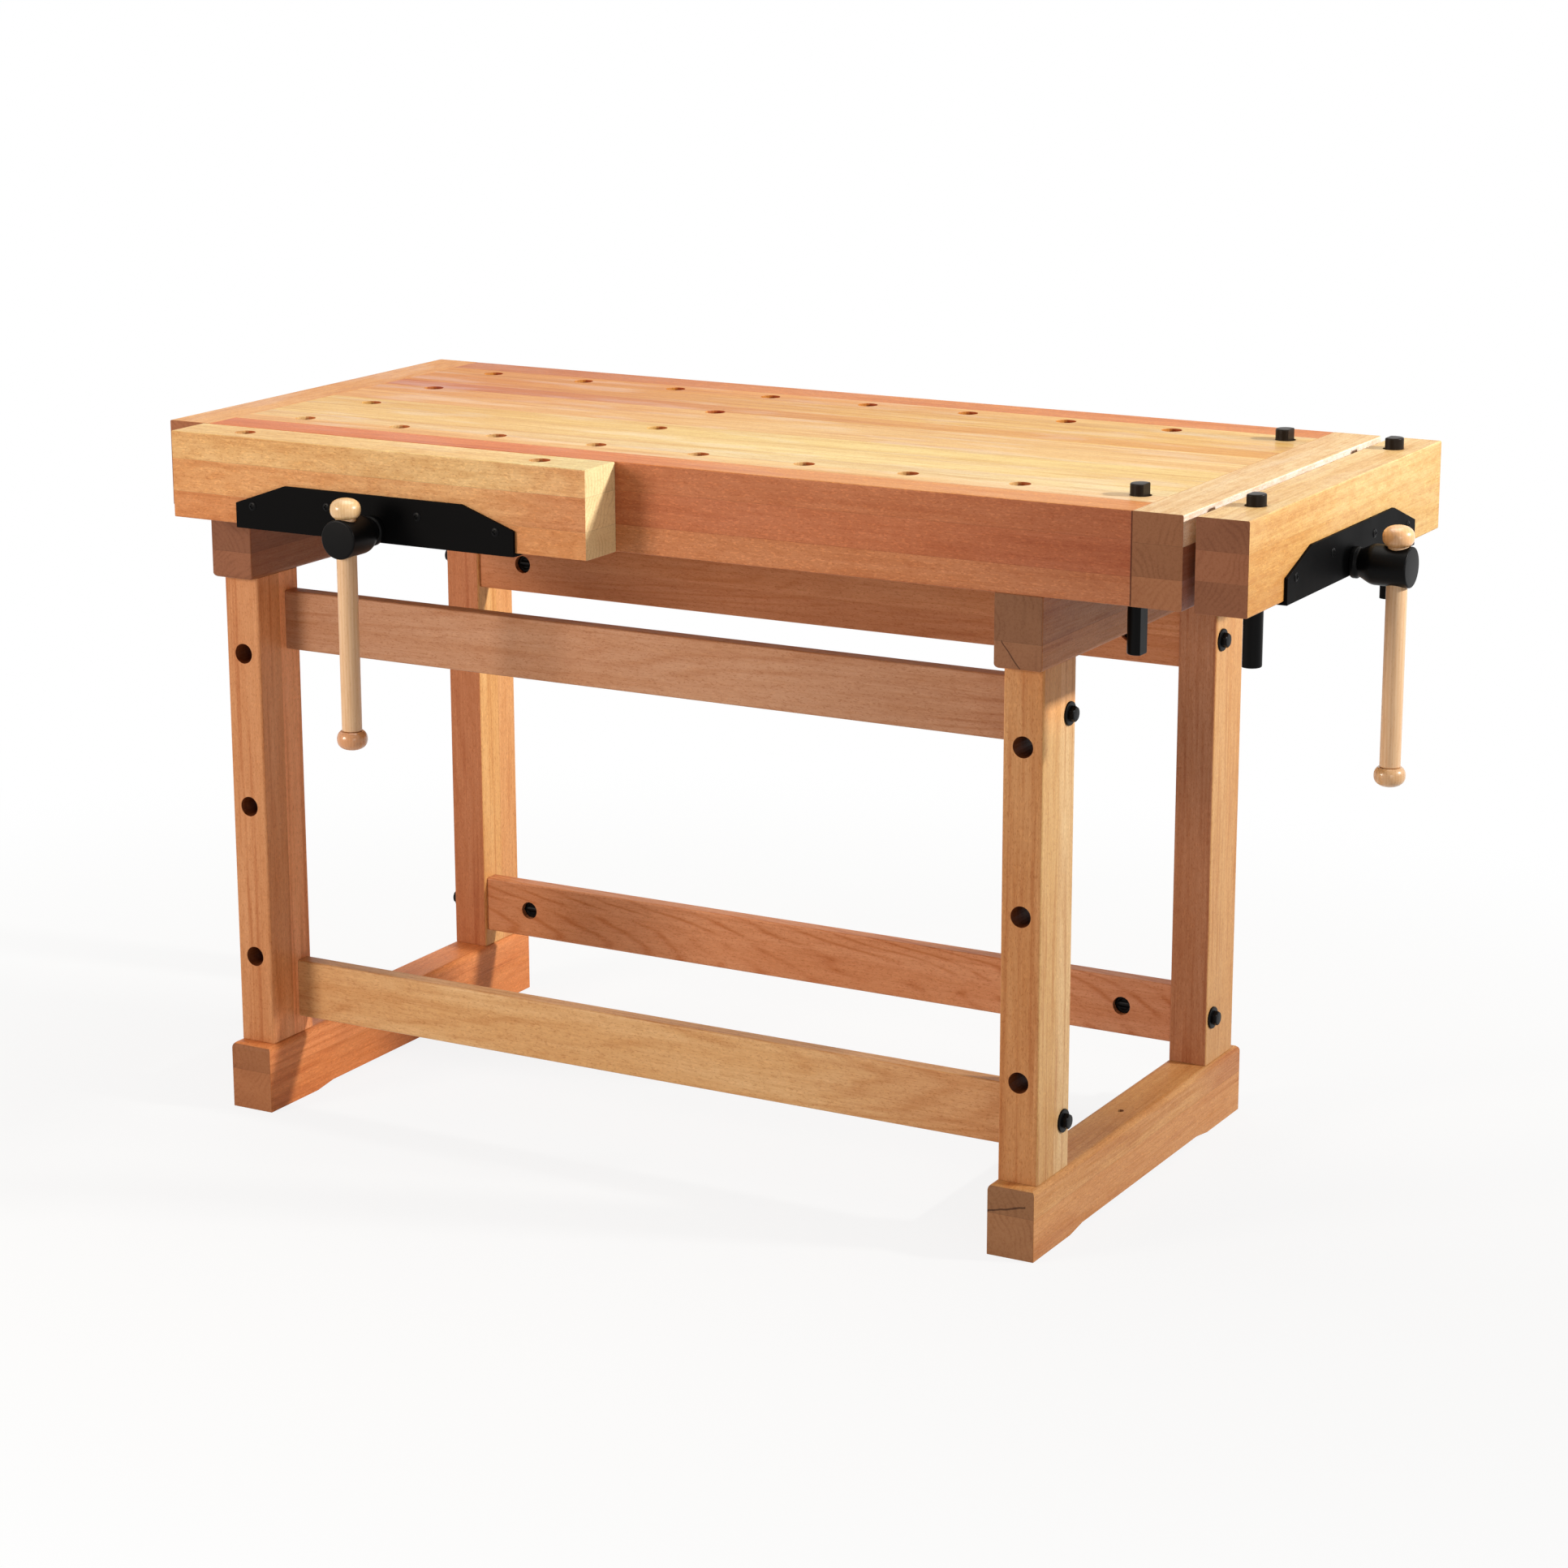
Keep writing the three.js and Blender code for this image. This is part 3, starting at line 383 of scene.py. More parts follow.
def turnedBeech(name, code, gloss, centre):
    # straight fibre along the handle, ray flecks, and a faint long-grain change round it
    paint = Paint(name, Coat_Weight=gloss, Coat_Roughness=0.12)
    spot = paint.spot()
    x, y, z = spot["x"] - centre[0], spot["y"] - centre[1], spot["z"]

    def streak(perAlong, perAcross):
        return paint.noise(x * perAcross, y * perAcross, z * perAlong)

    fibre = streak(22, 520).between(0.4, 0.7)
    fleck = streak(150, 620).between(0.60, 0.70)
    rings = ((x * 240 + y * 130 + streak(5, 45) * 2.2) * (2 * math.pi)).sine() * 0.5 + 0.5
    colour = linear(code)
    marks = [("ringTint", rings, 0.35), ("fibreTint", fibre, 0.30), ("fleckTint", fleck, 0.30)]
    for mark, mask, amount in marks:
        colour = paint.tint(colour, turnedSettings[mark], mask * amount)
    face, inFibre = turnedSettings["roughness"]
    paint.feed("Base Color", colour)
    paint.feed("Roughness", face + fibre * inFibre)
    paint.bump(fibre * -0.4 - fleck * 0.4, *turnedSettings["pores"])
    return paint.material


# Mesh making

def finishPiece(piece, node, material, stands=True):
    # the piece rides with the node's body, and stands for the node unless it is only added to it
    piece.data.materials.clear()
    piece.data.materials.append(material)
    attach(piece, bodyOf[node])
    if stands:
        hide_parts(node)


def putMesh(name, shells, sharp=38):
    # shells: points as rows by columns by 3; each row is a closed ring, and the end rows are capped
    mesh = bpy.data.meshes.new(name)
    points, faces, offset = [], [], 0
    for grid in shells:
        rows, columns = grid.shape[:2]
        index = offset + np.arange(rows * columns).reshape(rows, columns)
        inner, outer = index[:-1], index[1:]
        innerNext, outerNext = (np.roll(ring, -1, axis=1) for ring in (inner, outer))
        quads = np.stack([inner, innerNext, outerNext, outer], axis=-1).reshape(-1, 4)
        faces += quads.tolist() + [index[0, ::-1].tolist(), index[-1].tolist()]
        points.append(grid.reshape(-1, 3))
        offset += rows * columns
    mesh.from_pydata(np.concatenate(points).tolist(), [], faces)
    work = bmesh.new()
    work.from_mesh(mesh)
    bmesh.ops.remove_doubles(work, verts=work.verts, dist=1e-6)
    bmesh.ops.dissolve_degenerate(work, edges=work.edges, dist=1e-6)
    bmesh.ops.recalc_face_normals(work, faces=work.faces)
    work.to_mesh(mesh)
    work.free()
    mesh.shade_smooth()
    mesh.set_sharp_from_angle(angle=math.radians(sharp))
    piece = bpy.data.objects.new(name, mesh)
    bpy.context.scene.collection.objects.link(piece)
    return piece


def revolve(profile, sides, axis, centre, radiusOf=None):
    # each (radius, height) pair goes once round the line along axis through centre;
    # radiusOf(radius, angle) lets a ring be other than round
    profile = np.asarray(profile, float)
    angle = np.linspace(0, 2 * np.pi, sides, endpoint=False)[None, :]
    radius = profile[:, :1] * np.ones_like(angle)
    if radiusOf:
        radius = radiusOf(radius, angle)
    grid = np.empty((*radius.shape, 3))
    grid[..., (axis + 1) % 3] = centre[(axis + 1) % 3] + radius * np.cos(angle)
    grid[..., (axis + 2) % 3] = centre[(axis + 2) % 3] + radius * np.sin(angle)
    grid[..., axis] = profile[:, 1:]
    return grid


def rounded(corners, steps=5):
    # profile corners (radius, height, fillet): each fillet is an arc that leaves both edges along them
    corners = np.asarray(corners, float)
    result = [corners[0, :2]]
    for before, here, after in zip(corners[:-2], corners[1:-1], corners[2:]):
        fillet = here[2]
        if fillet <= 0:
            result.append(here[:2])
            continue
        back, on = before[:2] - here[:2], after[:2] - here[:2]
        start = here[:2] + back / np.linalg.norm(back) * fillet
        stop = here[:2] + on / np.linalg.norm(on) * fillet
        share = np.linspace(0, 1, steps)[:, None]
        result.extend((1 - share) ** 2 * start + 2 * share * (1 - share) * here[:2] + share ** 2 * stop)
    result.append(corners[-1, :2])
    return np.array(result)


def easedCopy(node, width, segments=2):
    # the node's own shape with its triangles joined to flat faces and its sharp edges eased
    mesh = bpy.data.meshes.new(node + "_eased")
    work = bmesh.new()
    work.from_mesh(frame["nodes"][node].data)
    bmesh.ops.remove_doubles(work, verts=work.verts, dist=2e-6)
    bmesh.ops.dissolve_limit(work, angle_limit=math.radians(0.6), verts=work.verts, edges=work.edges)
    work.to_mesh(mesh)
    work.free()
    mesh.shade_flat()
    normals = np.empty(len(mesh.polygons) * 3, np.float32)
    mesh.polygons.foreach_get("normal", normals)
    mesh.attributes.new("facing", "FLOAT_VECTOR", "FACE").data.foreach_set("vector", normals)
    piece = bpy.data.objects.new(node + "_eased", mesh)
    bpy.context.scene.collection.objects.link(piece)
    ease = piece.modifiers.new("eased edges", "BEVEL")
    ease.width, ease.segments = width, segments
    ease.limit_method, ease.angle_limit = "ANGLE", math.radians(50)
    return piece


def cutAway(piece, cutter):
    # takes cutter out of piece for good, then drops the cutter
    tool = piece.modifiers.new("cut", "BOOLEAN")
    tool.object, tool.operation, tool.solver = cutter, "DIFFERENCE", "EXACT"
    scene = bpy.context.evaluated_depsgraph_get()
    result = bpy.data.meshes.new_from_object(piece.evaluated_get(scene))
    piece.modifiers.clear()
    piece.data = result
    bpy.data.objects.remove(cutter)


# Boards: grain, stave and depth axes, the staves' tones from below or from the front, seed and kind

boards = {
    "front_apron": ("xzy", [(0, "#c7855a"), (0.31, "#bd724b"), (0.69, "#bf774f")], 1.0, "apron"),
    "rear_apron": ("xzy", [(0, "#c98a5c"), (0.31, "#c58253"), (0.69, "#c2783b")], 9.0, "apron"),
    "left_end_cap": ("yzx", [(0, "#c98f5f"), (0.31, "#cd9463"), (0.69, "#d8a065")], 3.0, "cap"),
    # the right end cap's two lower staves are dark as painted shade for the gap by the end vise's jaw, and
    # its pale top stave is painted light for the strip the key lamp lights there
    "right_end_cap": ("yzx", [(0, "#9a6850"), (0.32, "#8b593e"), (0.67, "#dfc39a")], 17.0, "cap"),
    "front_dog_rail": ("xyz", [(0, "#e2b476"), (0.5, "#deb97f")], 23.0, "panel"),
    "rear_dog_rail": ("xyz", [(0, "#cb8c43"), (0.45, "#cd8b41")], 31.0, "panel"),
    "middle_panel": ("xyz", [(0, "#dfb976"), (0.2, "#dcb56e"), (0.37, "#d8a161"), (0.55, "#d59854"),
                             (0.685, "#bf703a"), (0.81, "#ca843c")], 41.0, "panel"),
    "front_vise_jaw": ("xzy", [(0, "#cd8c59"), (0.31, "#dba56f"), (0.69, "#e0b77f")], 53.0, "jaw"),
    "end_vise_jaw": ("yzx", [(0, "#c79657"), (0.34, "#cd9e5f"), (0.66, "#d3a86b")], 61.0, "jaw"),
    "left_front_leg": ("zyx", [(0, "#ca9064"), (0.52, "#e0a072")], 71.0, "leg"),
    "right_front_leg": ("zyx", [(0, "#c79160"), (0.52, "#ce9c70")], 79.0, "leg"),
    "left_rear_leg": ("zyx", [(0, "#bd7b54"), (0.52, "#b7704c")], 83.0, "leg"),
    "right_rear_leg": ("zyx", [(0, "#b07b5b"), (0.52, "#b07958")], 89.0, "leg"),
    "left_foot": ("yzx", [(0, "#dd8f55"), (0.60, "#e1935b")], 97.0, "foot"),
    "right_foot": ("yzx", [(0, "#cf955e"), (0.60, "#cf9a62")], 101.0, "foot"),
    "left_bearer": ("yzx", [(0, "#aa7858"), (0.4, "#986a4e")], 103.0, "foot"),
    "right_bearer": ("yzx", [(0, "#c38456"), (0.37, "#b2774e")], 107.0, "foot"),
    "front_upper_rail": ("xzy", [(0, "#b6886a")], 109.0, "rail"),
    "front_lower_rail": ("xzy", [(0, "#d7a876")], 113.0, "rail"),
    "rear_upper_rail": ("xzy", [(0, "#c4855d")], 127.0, "rail"),
    "rear_lower_rail": ("xzy", [(0, "#ca8b62")], 131.0, "flame"),
}
endTones = {
    "other": "#96603f",
    # the front jaw's pale end tone is painted light: its right end where the key lamp falls on it
    "front_vise_jaw": ("#f4d9a4", [0.95, 1.0, 0.95]),
    "end_vise_jaw": ("#976144", [0.80, 1.0, 0.78]),
    "right_end_cap": ("#a06a48", [1.0, 0.76, 0.80]),
    "left_end_cap": ("#a06645", [0.9, 0.8, 1.0]),
    "left_bearer": ("#8d5b40", [1.0, 0.78]),
    "right_bearer": ("#906346", [1.0, 0.84]),
    "left_foot": ("#a76d47", [1.0, 0.84]),
    "right_foot": ("#9e704d", [1.0, 0.80]),
}  # colour of the ends, and how light each stave's end is
paintedLightByFace = {
    "right_end_cap": {"x": (1.12, 1.32, 2.0), "z": (0.95, 0.93, 0.84)},
    "left_end_cap": {"z": (1.02, 1.04, 1.0)},
    "rear_apron": {"z": (0.88, 0.80, 0.85)},
    "front_apron": {"z": (1.18, 1.00, 0.62)},
    "front_vise_jaw": {"z": (1.07, 1.21, 1.20)},
    "end_vise_jaw": {"z": (1.07, 1.26, 1.60)},
    "left_front_leg": {"x": (1.30, 1.25, 1.22)},
    "right_front_leg": {"x": (1.07, 1.33, 1.39)},
    "left_rear_leg": {"x": (1.47, 2.13, 1.87)},
    "right_rear_leg": {"x": (1.39, 1.71, 1.37)},
    "left_bearer": {"x": (0.80, 0.72, 0.66)},
}  # painted light and shade: a face that is lighter, warmer or darker than the rest of its board, by the way it faces, where the lamps fall on it or leave it in shade
dryingChecks = {
    "right_bearer": [(0.37, 0.16, 0.02, 0.55)],
    "right_foot": [(0.617, 0.0, 0.76, 0.82)],
}  # cracks in the front ends, as shares across and deep at their two points
every, top, front, right = (-1, 2), ("z", 1), ("y", -1), ("x", 1)
# Painted light among these: the pale ramps on the tops paint a sheen highlight where the lamps fall across
# the bench top, the end jaw's lighter right face is painted light from the key lamp, and the right front
# leg's ramp paints light into the shade under the top
lengthTintsAndPaintedLight = {
    "front_apron": [(top, every, (1.0, 1.42, 1.55), 0.30, 0.75),
                    (front, every, (0.78, 0.71, 0.74), 0.72, 1.0)],
    "rear_apron": [(top, every, (1.20, 1.38, 1.35), 0.15, 0.50)],
    "front_dog_rail": [(top, every, (1.03, 1.22, 1.45), 0.20, 0.60),
                       (top, (-1, 0.5), (1.0, 1.06, 1.30), 0.74, 0.84)],
    "middle_panel": [(top, (-1, 0.37), (1.03, 1.20, 1.42), 0.20, 0.60),
                     (top, (0.37, 0.55), (1.05, 1.38, 1.75), 0, 0.75),
                     (top, (0.55, 0.685), (1.03, 1.42, 2.00), 0, 0.75),
                     (top, (0.685, 0.81), (1.20, 2.05, 1.95), 0, 0.75),
                     (top, (0.81, 2), (1.10, 1.75, 2.70), 0, 0.75)],
    "rear_dog_rail": [(top, every, (1.03, 1.58, 2.50), 0.25, 1.00),
                      (top, (-1, 0.45), (1.0, 1.06, 1.45), 0.72, 0.92),
                      (top, (0.45, 2), (1.08, 1.15, 1.35), 0.25, 0.42)],
    "left_end_cap": [(top, every, (0.92, 0.82, 0.66), 0.20, 0.60)],
    "front_vise_jaw": [(front, (0.31, 2), (1.04, 1.13, 1.22), 0.35, 0.55),
                       (front, (0.31, 0.69), (0.86, 0.68, 0.65), 0.68, 0.97),
                       (front, (0.69, 2), (0.96, 0.79, 0.73), 0.72, 1.0),
                       (front, (-1, 0.31), (1.09, 1.19, 1.24), 0.5, 0.9),
                       (top, every, (0.96, 1.15, 1.35), 0.72, 0.95)],
    # painted light: the right face made paler where the key lamp falls on it
    "end_vise_jaw": [(right, every, (1.04, 1.24, 1.50), 0.10, 0.90)],
    "front_upper_rail": [(front, every, (1.15, 1.19, 1.21), 0.05, 0.35),
                         (front, every, (0.86, 0.82, 0.80), 0.60, 0.85)],
    "front_lower_rail": [(front, every, (1.12, 1.24, 1.34), 0.03, 0.22),
                         (front, every, (0.83, 0.70, 0.66), 0.66, 0.92)],
    "rear_upper_rail": [(front, (0.5, 2), (1.12, 1.22, 1.30), 0.05, 0.20)],
    "rear_lower_rail": [(front, every, (1.22, 1.32, 1.47), 0.08, 0.25),
                        (front, every, (0.82, 0.78, 0.80), 0.78, 0.95)],
    # painted light: lightens the shade at the upper end of the leg's right face, under the top
    "right_front_leg": [(right, every, (1.30, 1.10, 1.05), 0.80, 0.90)],
    "right_foot": [(right, (0.6, 2), (0.82, 0.68, 0.69), 0.72, 0.95)],
}  # a face that changes along its length, partly as painted light: which face and staves, to what tint, between which shares
seams = {
    "front_apron": [("x", -1, "y"), ("x", 1, "y")],
    "rear_apron": [("x", -1, "y"), ("x", 1, "y")],
    "front_vise_jaw": [("y", 1, "z")],
}  # edges that show a dark joint, by the way from the board's middle, and the faces that it shows on
easing = {"top": 0.4 * mm, "board": 1.5 * mm, "steel": 0.5 * mm}  # the top is planed flush across its joints

for node, (axes, staves, seed, kind) in boards.items():
    board = easedCopy(node, easing["top" if kind in ("panel", "apron", "cap") else "board"])
    finishPiece(board, node, beech(node + "_beech", node, axes, staves, seed, kind))
print("boards done:", len(boards))


# Steel finishes

platePaint = blackSteel("plate_black", 0.50, 0.03)
hubPaint = blackSteel("hub_black", 0.36, 0.08)
# the dogs' heads above the bench top are painted lighter than their lower ends, as painted light
dogPaint = blackSteel("dog_black", 0.34, 0.07, ((0.016, 0.0115, 0.0085), 0.870, 0.900))
boltPaint = blackSteel("bolt_black", 0.40, 0.10)
brightPaint = brightSteel("bright_steel")

for vise in ("front_vise", "end_vise"):
    for part, paint in (("plate", platePaint), ("bracket", platePaint), ("collar", brightPaint)):
        node = f"{vise}_{part}"
        finishPiece(easedCopy(node, easing["steel"]), node, paint)


# Vises: each opens along one axis, outwards by its sign

vises = {"front_vise": {"axis": 1, "outward": -1}, "end_vise": {"axis": 0, "outward": 1}}
hubSettings = {
    "profile": [(0, 0.4, 0), (19, 0.4, 1.2), (19, 6.6, 1.2), (16.2, 9.0, 3.0), (24.5, 25.0, 5.0),
                (24.5, 72.5, 2.4), (0, 72.5, 0)],  # radius, distance from the plate, fillet
    "radius": 24.5,
    "sides": 96,
    "handleStation": 54.7,
    "boreRadius": 13.0,
    "boreSides": 72,
    "mouth": (1.6, 3.2),  # how far the bore's mouth widens, and over what depth
    "clear": (20.0, 30.0),  # the cutter's ends stand clear of the hub
}
threadSettings = {
    "lead": 5.0,
    "depth": 1.3,
    "radius": 9.5,
    "tip": 2.5,
    "tipFall": 1.2,
    "flank": (2.4, 0.7),  # slope of the flanks, and how wide the root is
    "aroundSteps": 32,
    "alongSteps": 10,
}
guideSettings = {"sides": 48, "round": 1.2 * mm}


def threadedRod(name, axis, centre, start, stop):
    # radius falls from crest to root and back once in each lead, and the fall winds round with the angle
    lead, depth, radius = (threadSettings[key] * mm for key in ("lead", "depth", "radius"))
    tip, tipFall = threadSettings["tip"] * mm, threadSettings["tipFall"] * mm
    slope, root = threadSettings["flank"]
    rows = int(abs(stop - start) / lead * threadSettings["alongSteps"])
    height = np.linspace(start, stop, rows)
    taper = np.clip(np.abs(height - stop) / tip, 0.0, 1.0)[:, None]

    def wound(radii, angle):
        phase = (height[:, None] / lead - angle / (2 * np.pi)) % 1.0
        crest = np.clip(np.abs(2 * phase - 1) * slope - root, 0.0, 1.0)
        return radii - depth * (1 - crest) - tipFall * (1 - taper)

    profile = np.stack([np.full(rows, radius), height], axis=1)
    return putMesh(name, [revolve(profile, threadSettings["aroundSteps"], axis, centre, wound)], sharp=60)


for vise, way in vises.items():
    axis, outward = way["axis"], way["outward"]
    screw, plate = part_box(f"{vise}_screw"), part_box(f"{vise}_plate")
    face = plate[0][axis] if outward < 0 else plate[1][axis]
    inner = screw[1][axis] if outward < 0 else screw[0][axis]
    centre = [(a + b) / 2 for a, b in zip(*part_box(f"{vise}_collar"))]
    profile = rounded(np.array(hubSettings["profile"]) * mm, 7)
    profile[:, 1] = face + outward * profile[:, 1]
    hub = putMesh(f"{vise}_hub", [revolve(profile, hubSettings["sides"], axis, centre)])
    station = list(centre)
    station[axis] = face + outward * hubSettings["handleStation"] * mm
    radius, rim = hubSettings["boreRadius"] * mm, hubSettings["radius"] * mm
    widen, deep = (size * mm for size in hubSettings["mouth"])
    wide, far = (size * mm for size in hubSettings["clear"])
    bore = [(0, -far), (wide, -far), (radius + widen, -rim), (radius, -rim + deep),
            (radius, rim - deep), (radius + widen, rim), (wide, far), (0, far)]
    bore = np.array(bore) + [0, station[2]]
    cutAway(hub, putMesh(f"{vise}_bore", [revolve(bore, hubSettings["boreSides"], 2, station)]))
    hub.data.set_sharp_from_angle(angle=math.radians(32))
    finishPiece(hub, f"{vise}_screw", hubPaint)
    thread = threadedRod(f"{vise}_thread", axis, centre, face, inner)
    finishPiece(thread, f"{vise}_screw", brightPaint, stands=False)
    for side in ("left", "right"):
        node = f"{vise}_{side}_guide"
        low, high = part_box(node)
        middle = (low + high) / 2
        radius, fillet = (high[2] - low[2]) / 2, guideSettings["round"]
        start, stop = low[axis], high[axis]
        ends = [(0, start, 0), (radius, start, fillet), (radius, stop, fillet), (0, stop, 0)]
        rod = putMesh(node + "_rod", [revolve(rounded(ends), guideSettings["sides"], axis, middle)])
        finishPiece(rod, node, brightPaint)
print("vise steel done")


# Plate screws: low domes with a cross recess, in the plate's face

plateScrews = {
    "radius": 5.4,
    "height": 1.5,
    "edge": 0.96,  # share of the ellipse that the dome goes to, so that it ends in a low wall
    "foot": 0.5,
    "slotWidth": 0.95,
    "slotReach": 3.0,
    "slotDepth": 1.1,
    "rings": 14,
    "sides": 48,
    "places": [(26.0, 28.8), (139.6, 37.7)],  # in from the plate's ends, up from its lower edge
}


def screwHead(axis, outward, centre):
    # dome height falls as an ellipse with the radius; inside the cross the dome is lowered
    radius, height = plateScrews["radius"] * mm, plateScrews["height"] * mm
    share = np.linspace(0, 1, plateScrews["rings"])
    profile = np.stack([share * radius, np.zeros_like(share)], axis=1)
    grid = revolve(profile, plateScrews["sides"], axis, centre)
    offset = grid - np.array(centre)
    u, v = offset[..., (axis + 1) % 3], offset[..., (axis + 2) % 3]
    dome = height * np.sqrt(np.clip(1 - (share[:, None] * plateScrews["edge"]) ** 2, 0, 1))
    near = np.minimum(np.abs(u), np.abs(v)) < plateScrews["slotWidth"] * mm
    reach = np.maximum(np.abs(u), np.abs(v)) < plateScrews["slotReach"] * mm
    rise = dome - plateScrews["slotDepth"] * mm * (near & reach)
    grid[..., axis] = centre[axis] + outward * rise
    foot = grid[-1:].copy()
    foot[..., axis] = centre[axis] - outward * plateScrews["foot"] * mm
    return np.concatenate([grid, foot])


for vise, way in vises.items():
    axis, outward = way["axis"], way["outward"]
    low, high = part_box(f"{vise}_plate")
    run = 1 - axis  # the plate lies along the other level axis
    face = low[axis] if outward < 0 else high[axis]
    shells = []
    for inset, rise in plateScrews["places"]:
        for place in (low[run] + inset * mm, high[run] - inset * mm):
            centre = [0.0, 0.0, low[2] + rise * mm]
            centre[axis], centre[run] = face, place
            shells.append(screwHead(axis, outward, centre))
    screws = putMesh(f"{vise}_plate_screws", shells, sharp=45)
    finishPiece(screws, f"{vise}_plate", hubPaint, stands=False)


# Handles and knobs

handleSettings = {
    "sides": 64,
    "endFillet": 1.6,
    "tenon": 8.0,
    "shoulder": 0.3,  # gap between the grip and each knob
    "tone": "#e2bd95",
    "gloss": 0.12,
}
knobSettings = {
    "sides": 72,
    "steps": 40,
    "flatten": 2.35,
    "seat": 14.2,
    "socket": (8.3, 12.3),  # radius and depth
    "gloss": 0.7,
    # the tones are partly painted light: each upper knob is lighter than the one below it, and the end
    # vise's upper knob is lightened as a painted highlight
    "tones": {"front_vise_top": "#debc8b", "front_vise_bottom": "#cf935f",
              "end_vise_top": "#eab883", "end_vise_bottom": "#d3a877"},
}


def knobProfile(radius, height, seat):
    # superellipse: (r / radius) ** n + (h / half) ** n = 1, from the seat's radius round to the top
    n = knobSettings["flatten"]
    dip = (1 - (seat / radius) ** n) ** (1 / n)
    half = height / (1 + dip)
    angle = np.linspace(-math.asin(min(dip ** (n / 2), 1)), math.pi / 2, knobSettings["steps"])
    r = radius * np.abs(np.cos(angle)) ** (2 / n)
    h = half * np.sign(np.sin(angle)) * np.abs(np.sin(angle)) ** (2 / n)
    return np.stack([r, h + half * dip], axis=1)


for vise in vises:
    node = f"{vise}_handle"
    low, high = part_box(node)
    middle = (low + high) / 2
    top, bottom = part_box(f"{vise}_top_knob"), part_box(f"{vise}_bottom_knob")
    radius = (high[0] - low[0]) / 2
    fillet, tenon, gap = (handleSettings[key] * mm for key in ("endFillet", "tenon", "shoulder"))
    start, stop = bottom[1][2] + gap, top[0][2] - gap
    profile = rounded([(0, low[2], 0), (tenon, low[2], 0), (tenon, start, 0), (radius, start, fillet),
                       (radius, stop, fillet), (tenon, stop, 0), (tenon, high[2], 0), (0, high[2], 0)])
    grip = putMesh(f"{vise}_grip", [revolve(profile, handleSettings["sides"], 2, middle)])
    wood = turnedBeech(f"{vise}_handle_beech", handleSettings["tone"], handleSettings["gloss"], middle)
    finishPiece(grip, node, wood)
    for end, sign in (("top", 1), ("bottom", -1)):
        node = f"{vise}_{end}_knob"
        low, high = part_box(node)
        tone = knobSettings["tones"][f"{vise}_{end}"]
        wood = turnedBeech(node + "_beech", tone, knobSettings["gloss"], middle)
        seatZ = low[2] if sign > 0 else high[2]
        curve = knobProfile((high[0] - low[0]) / 2, high[2] - low[2], knobSettings["seat"] * mm)
        hole, deep = knobSettings["socket"]
        profile = np.concatenate([np.array([(0, deep), (hole, deep), (hole, 0)]) * mm, curve])
        profile[:, 1] = seatZ + sign * profile[:, 1]
        knob = putMesh(f"{vise}_{end}_cap", [revolve(profile, knobSettings["sides"], 2, middle)])
        finishPiece(knob, node, wood)
print("handles done")


# Dogs: a round bar with one long flat, rounded at both ends

dogSettings = {
    "sides": 96,
    "round": 2.2,
    "flatInside": 7.5,
    "facing": {"front_bench_dog": 0, "rear_bench_dog": 0, "front_jaw_dog": math.pi, "rear_jaw_dog": math.pi},
}

for node, facing in dogSettings["facing"].items():
    low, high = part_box(node)
    radius = (high[1] - low[1]) / 2
    flat = dogSettings["flatInside"] * mm
    middle = (low + high) / 2
    middle[0] = low[0] + radius if facing == 0 else high[0] - radius

    def withFlat(radii, angle):
        # the ring is cut back to the flat's line, at its distance over the cosine, scaled with the ring
        toFlat = np.cos(angle - facing)
        limit = flat / np.maximum(toFlat, 0.05) * np.minimum(radii / radius + 0.06, 1.0)
        return np.where(toFlat > 0.05, np.minimum(radii, limit), radii)

    edge = dogSettings["round"] * mm
    profile = rounded([(0, low[2], 0), (radius, low[2], edge), (radius, high[2], edge), (0, high[2], 0)], 7)
    bar = putMesh(node + "_bar", [revolve(profile, dogSettings["sides"], 2, middle, withFlat)], sharp=34)
    finishPiece(bar, node, dogPaint)


# Rail bolts: washer, hexagon head with a turned chamfer, and the shank

boltSettings = {
    "washerRadius": 14.5,
    "washer": 2.5,
    "washerRound": 0.9,
    "washerSides": 64,
    "flats": 17.0,
    "head": 7.0,
    "headRing": 12.0,  # outside the hexagon's corners
    "headFoot": 0.5,  # how far the head goes into the washer
    "headSides": 96,
    "chamfer": [(1.09, 1.1), (0.95, 0.1), (0.9, 0.0)],  # share of half the flats, below the top
    "chamferStart": 2.2,
    "shank": 5.0,
    "shankEnd": 1.0,
    "shankSides": 24,
}
boltSize = {key: value * mm for key, value in boltSettings.items() if isinstance(value, float)}
halfFlats = boltSize["flats"] / 2


def hexagon(radii, angle):
    # distance to the flat over the cosine of the angle from its middle, and never more than the ring
    turn = (angle + math.pi / 6) % (math.pi / 3) - math.pi / 6
    return np.minimum(halfFlats / np.cos(turn), radii)


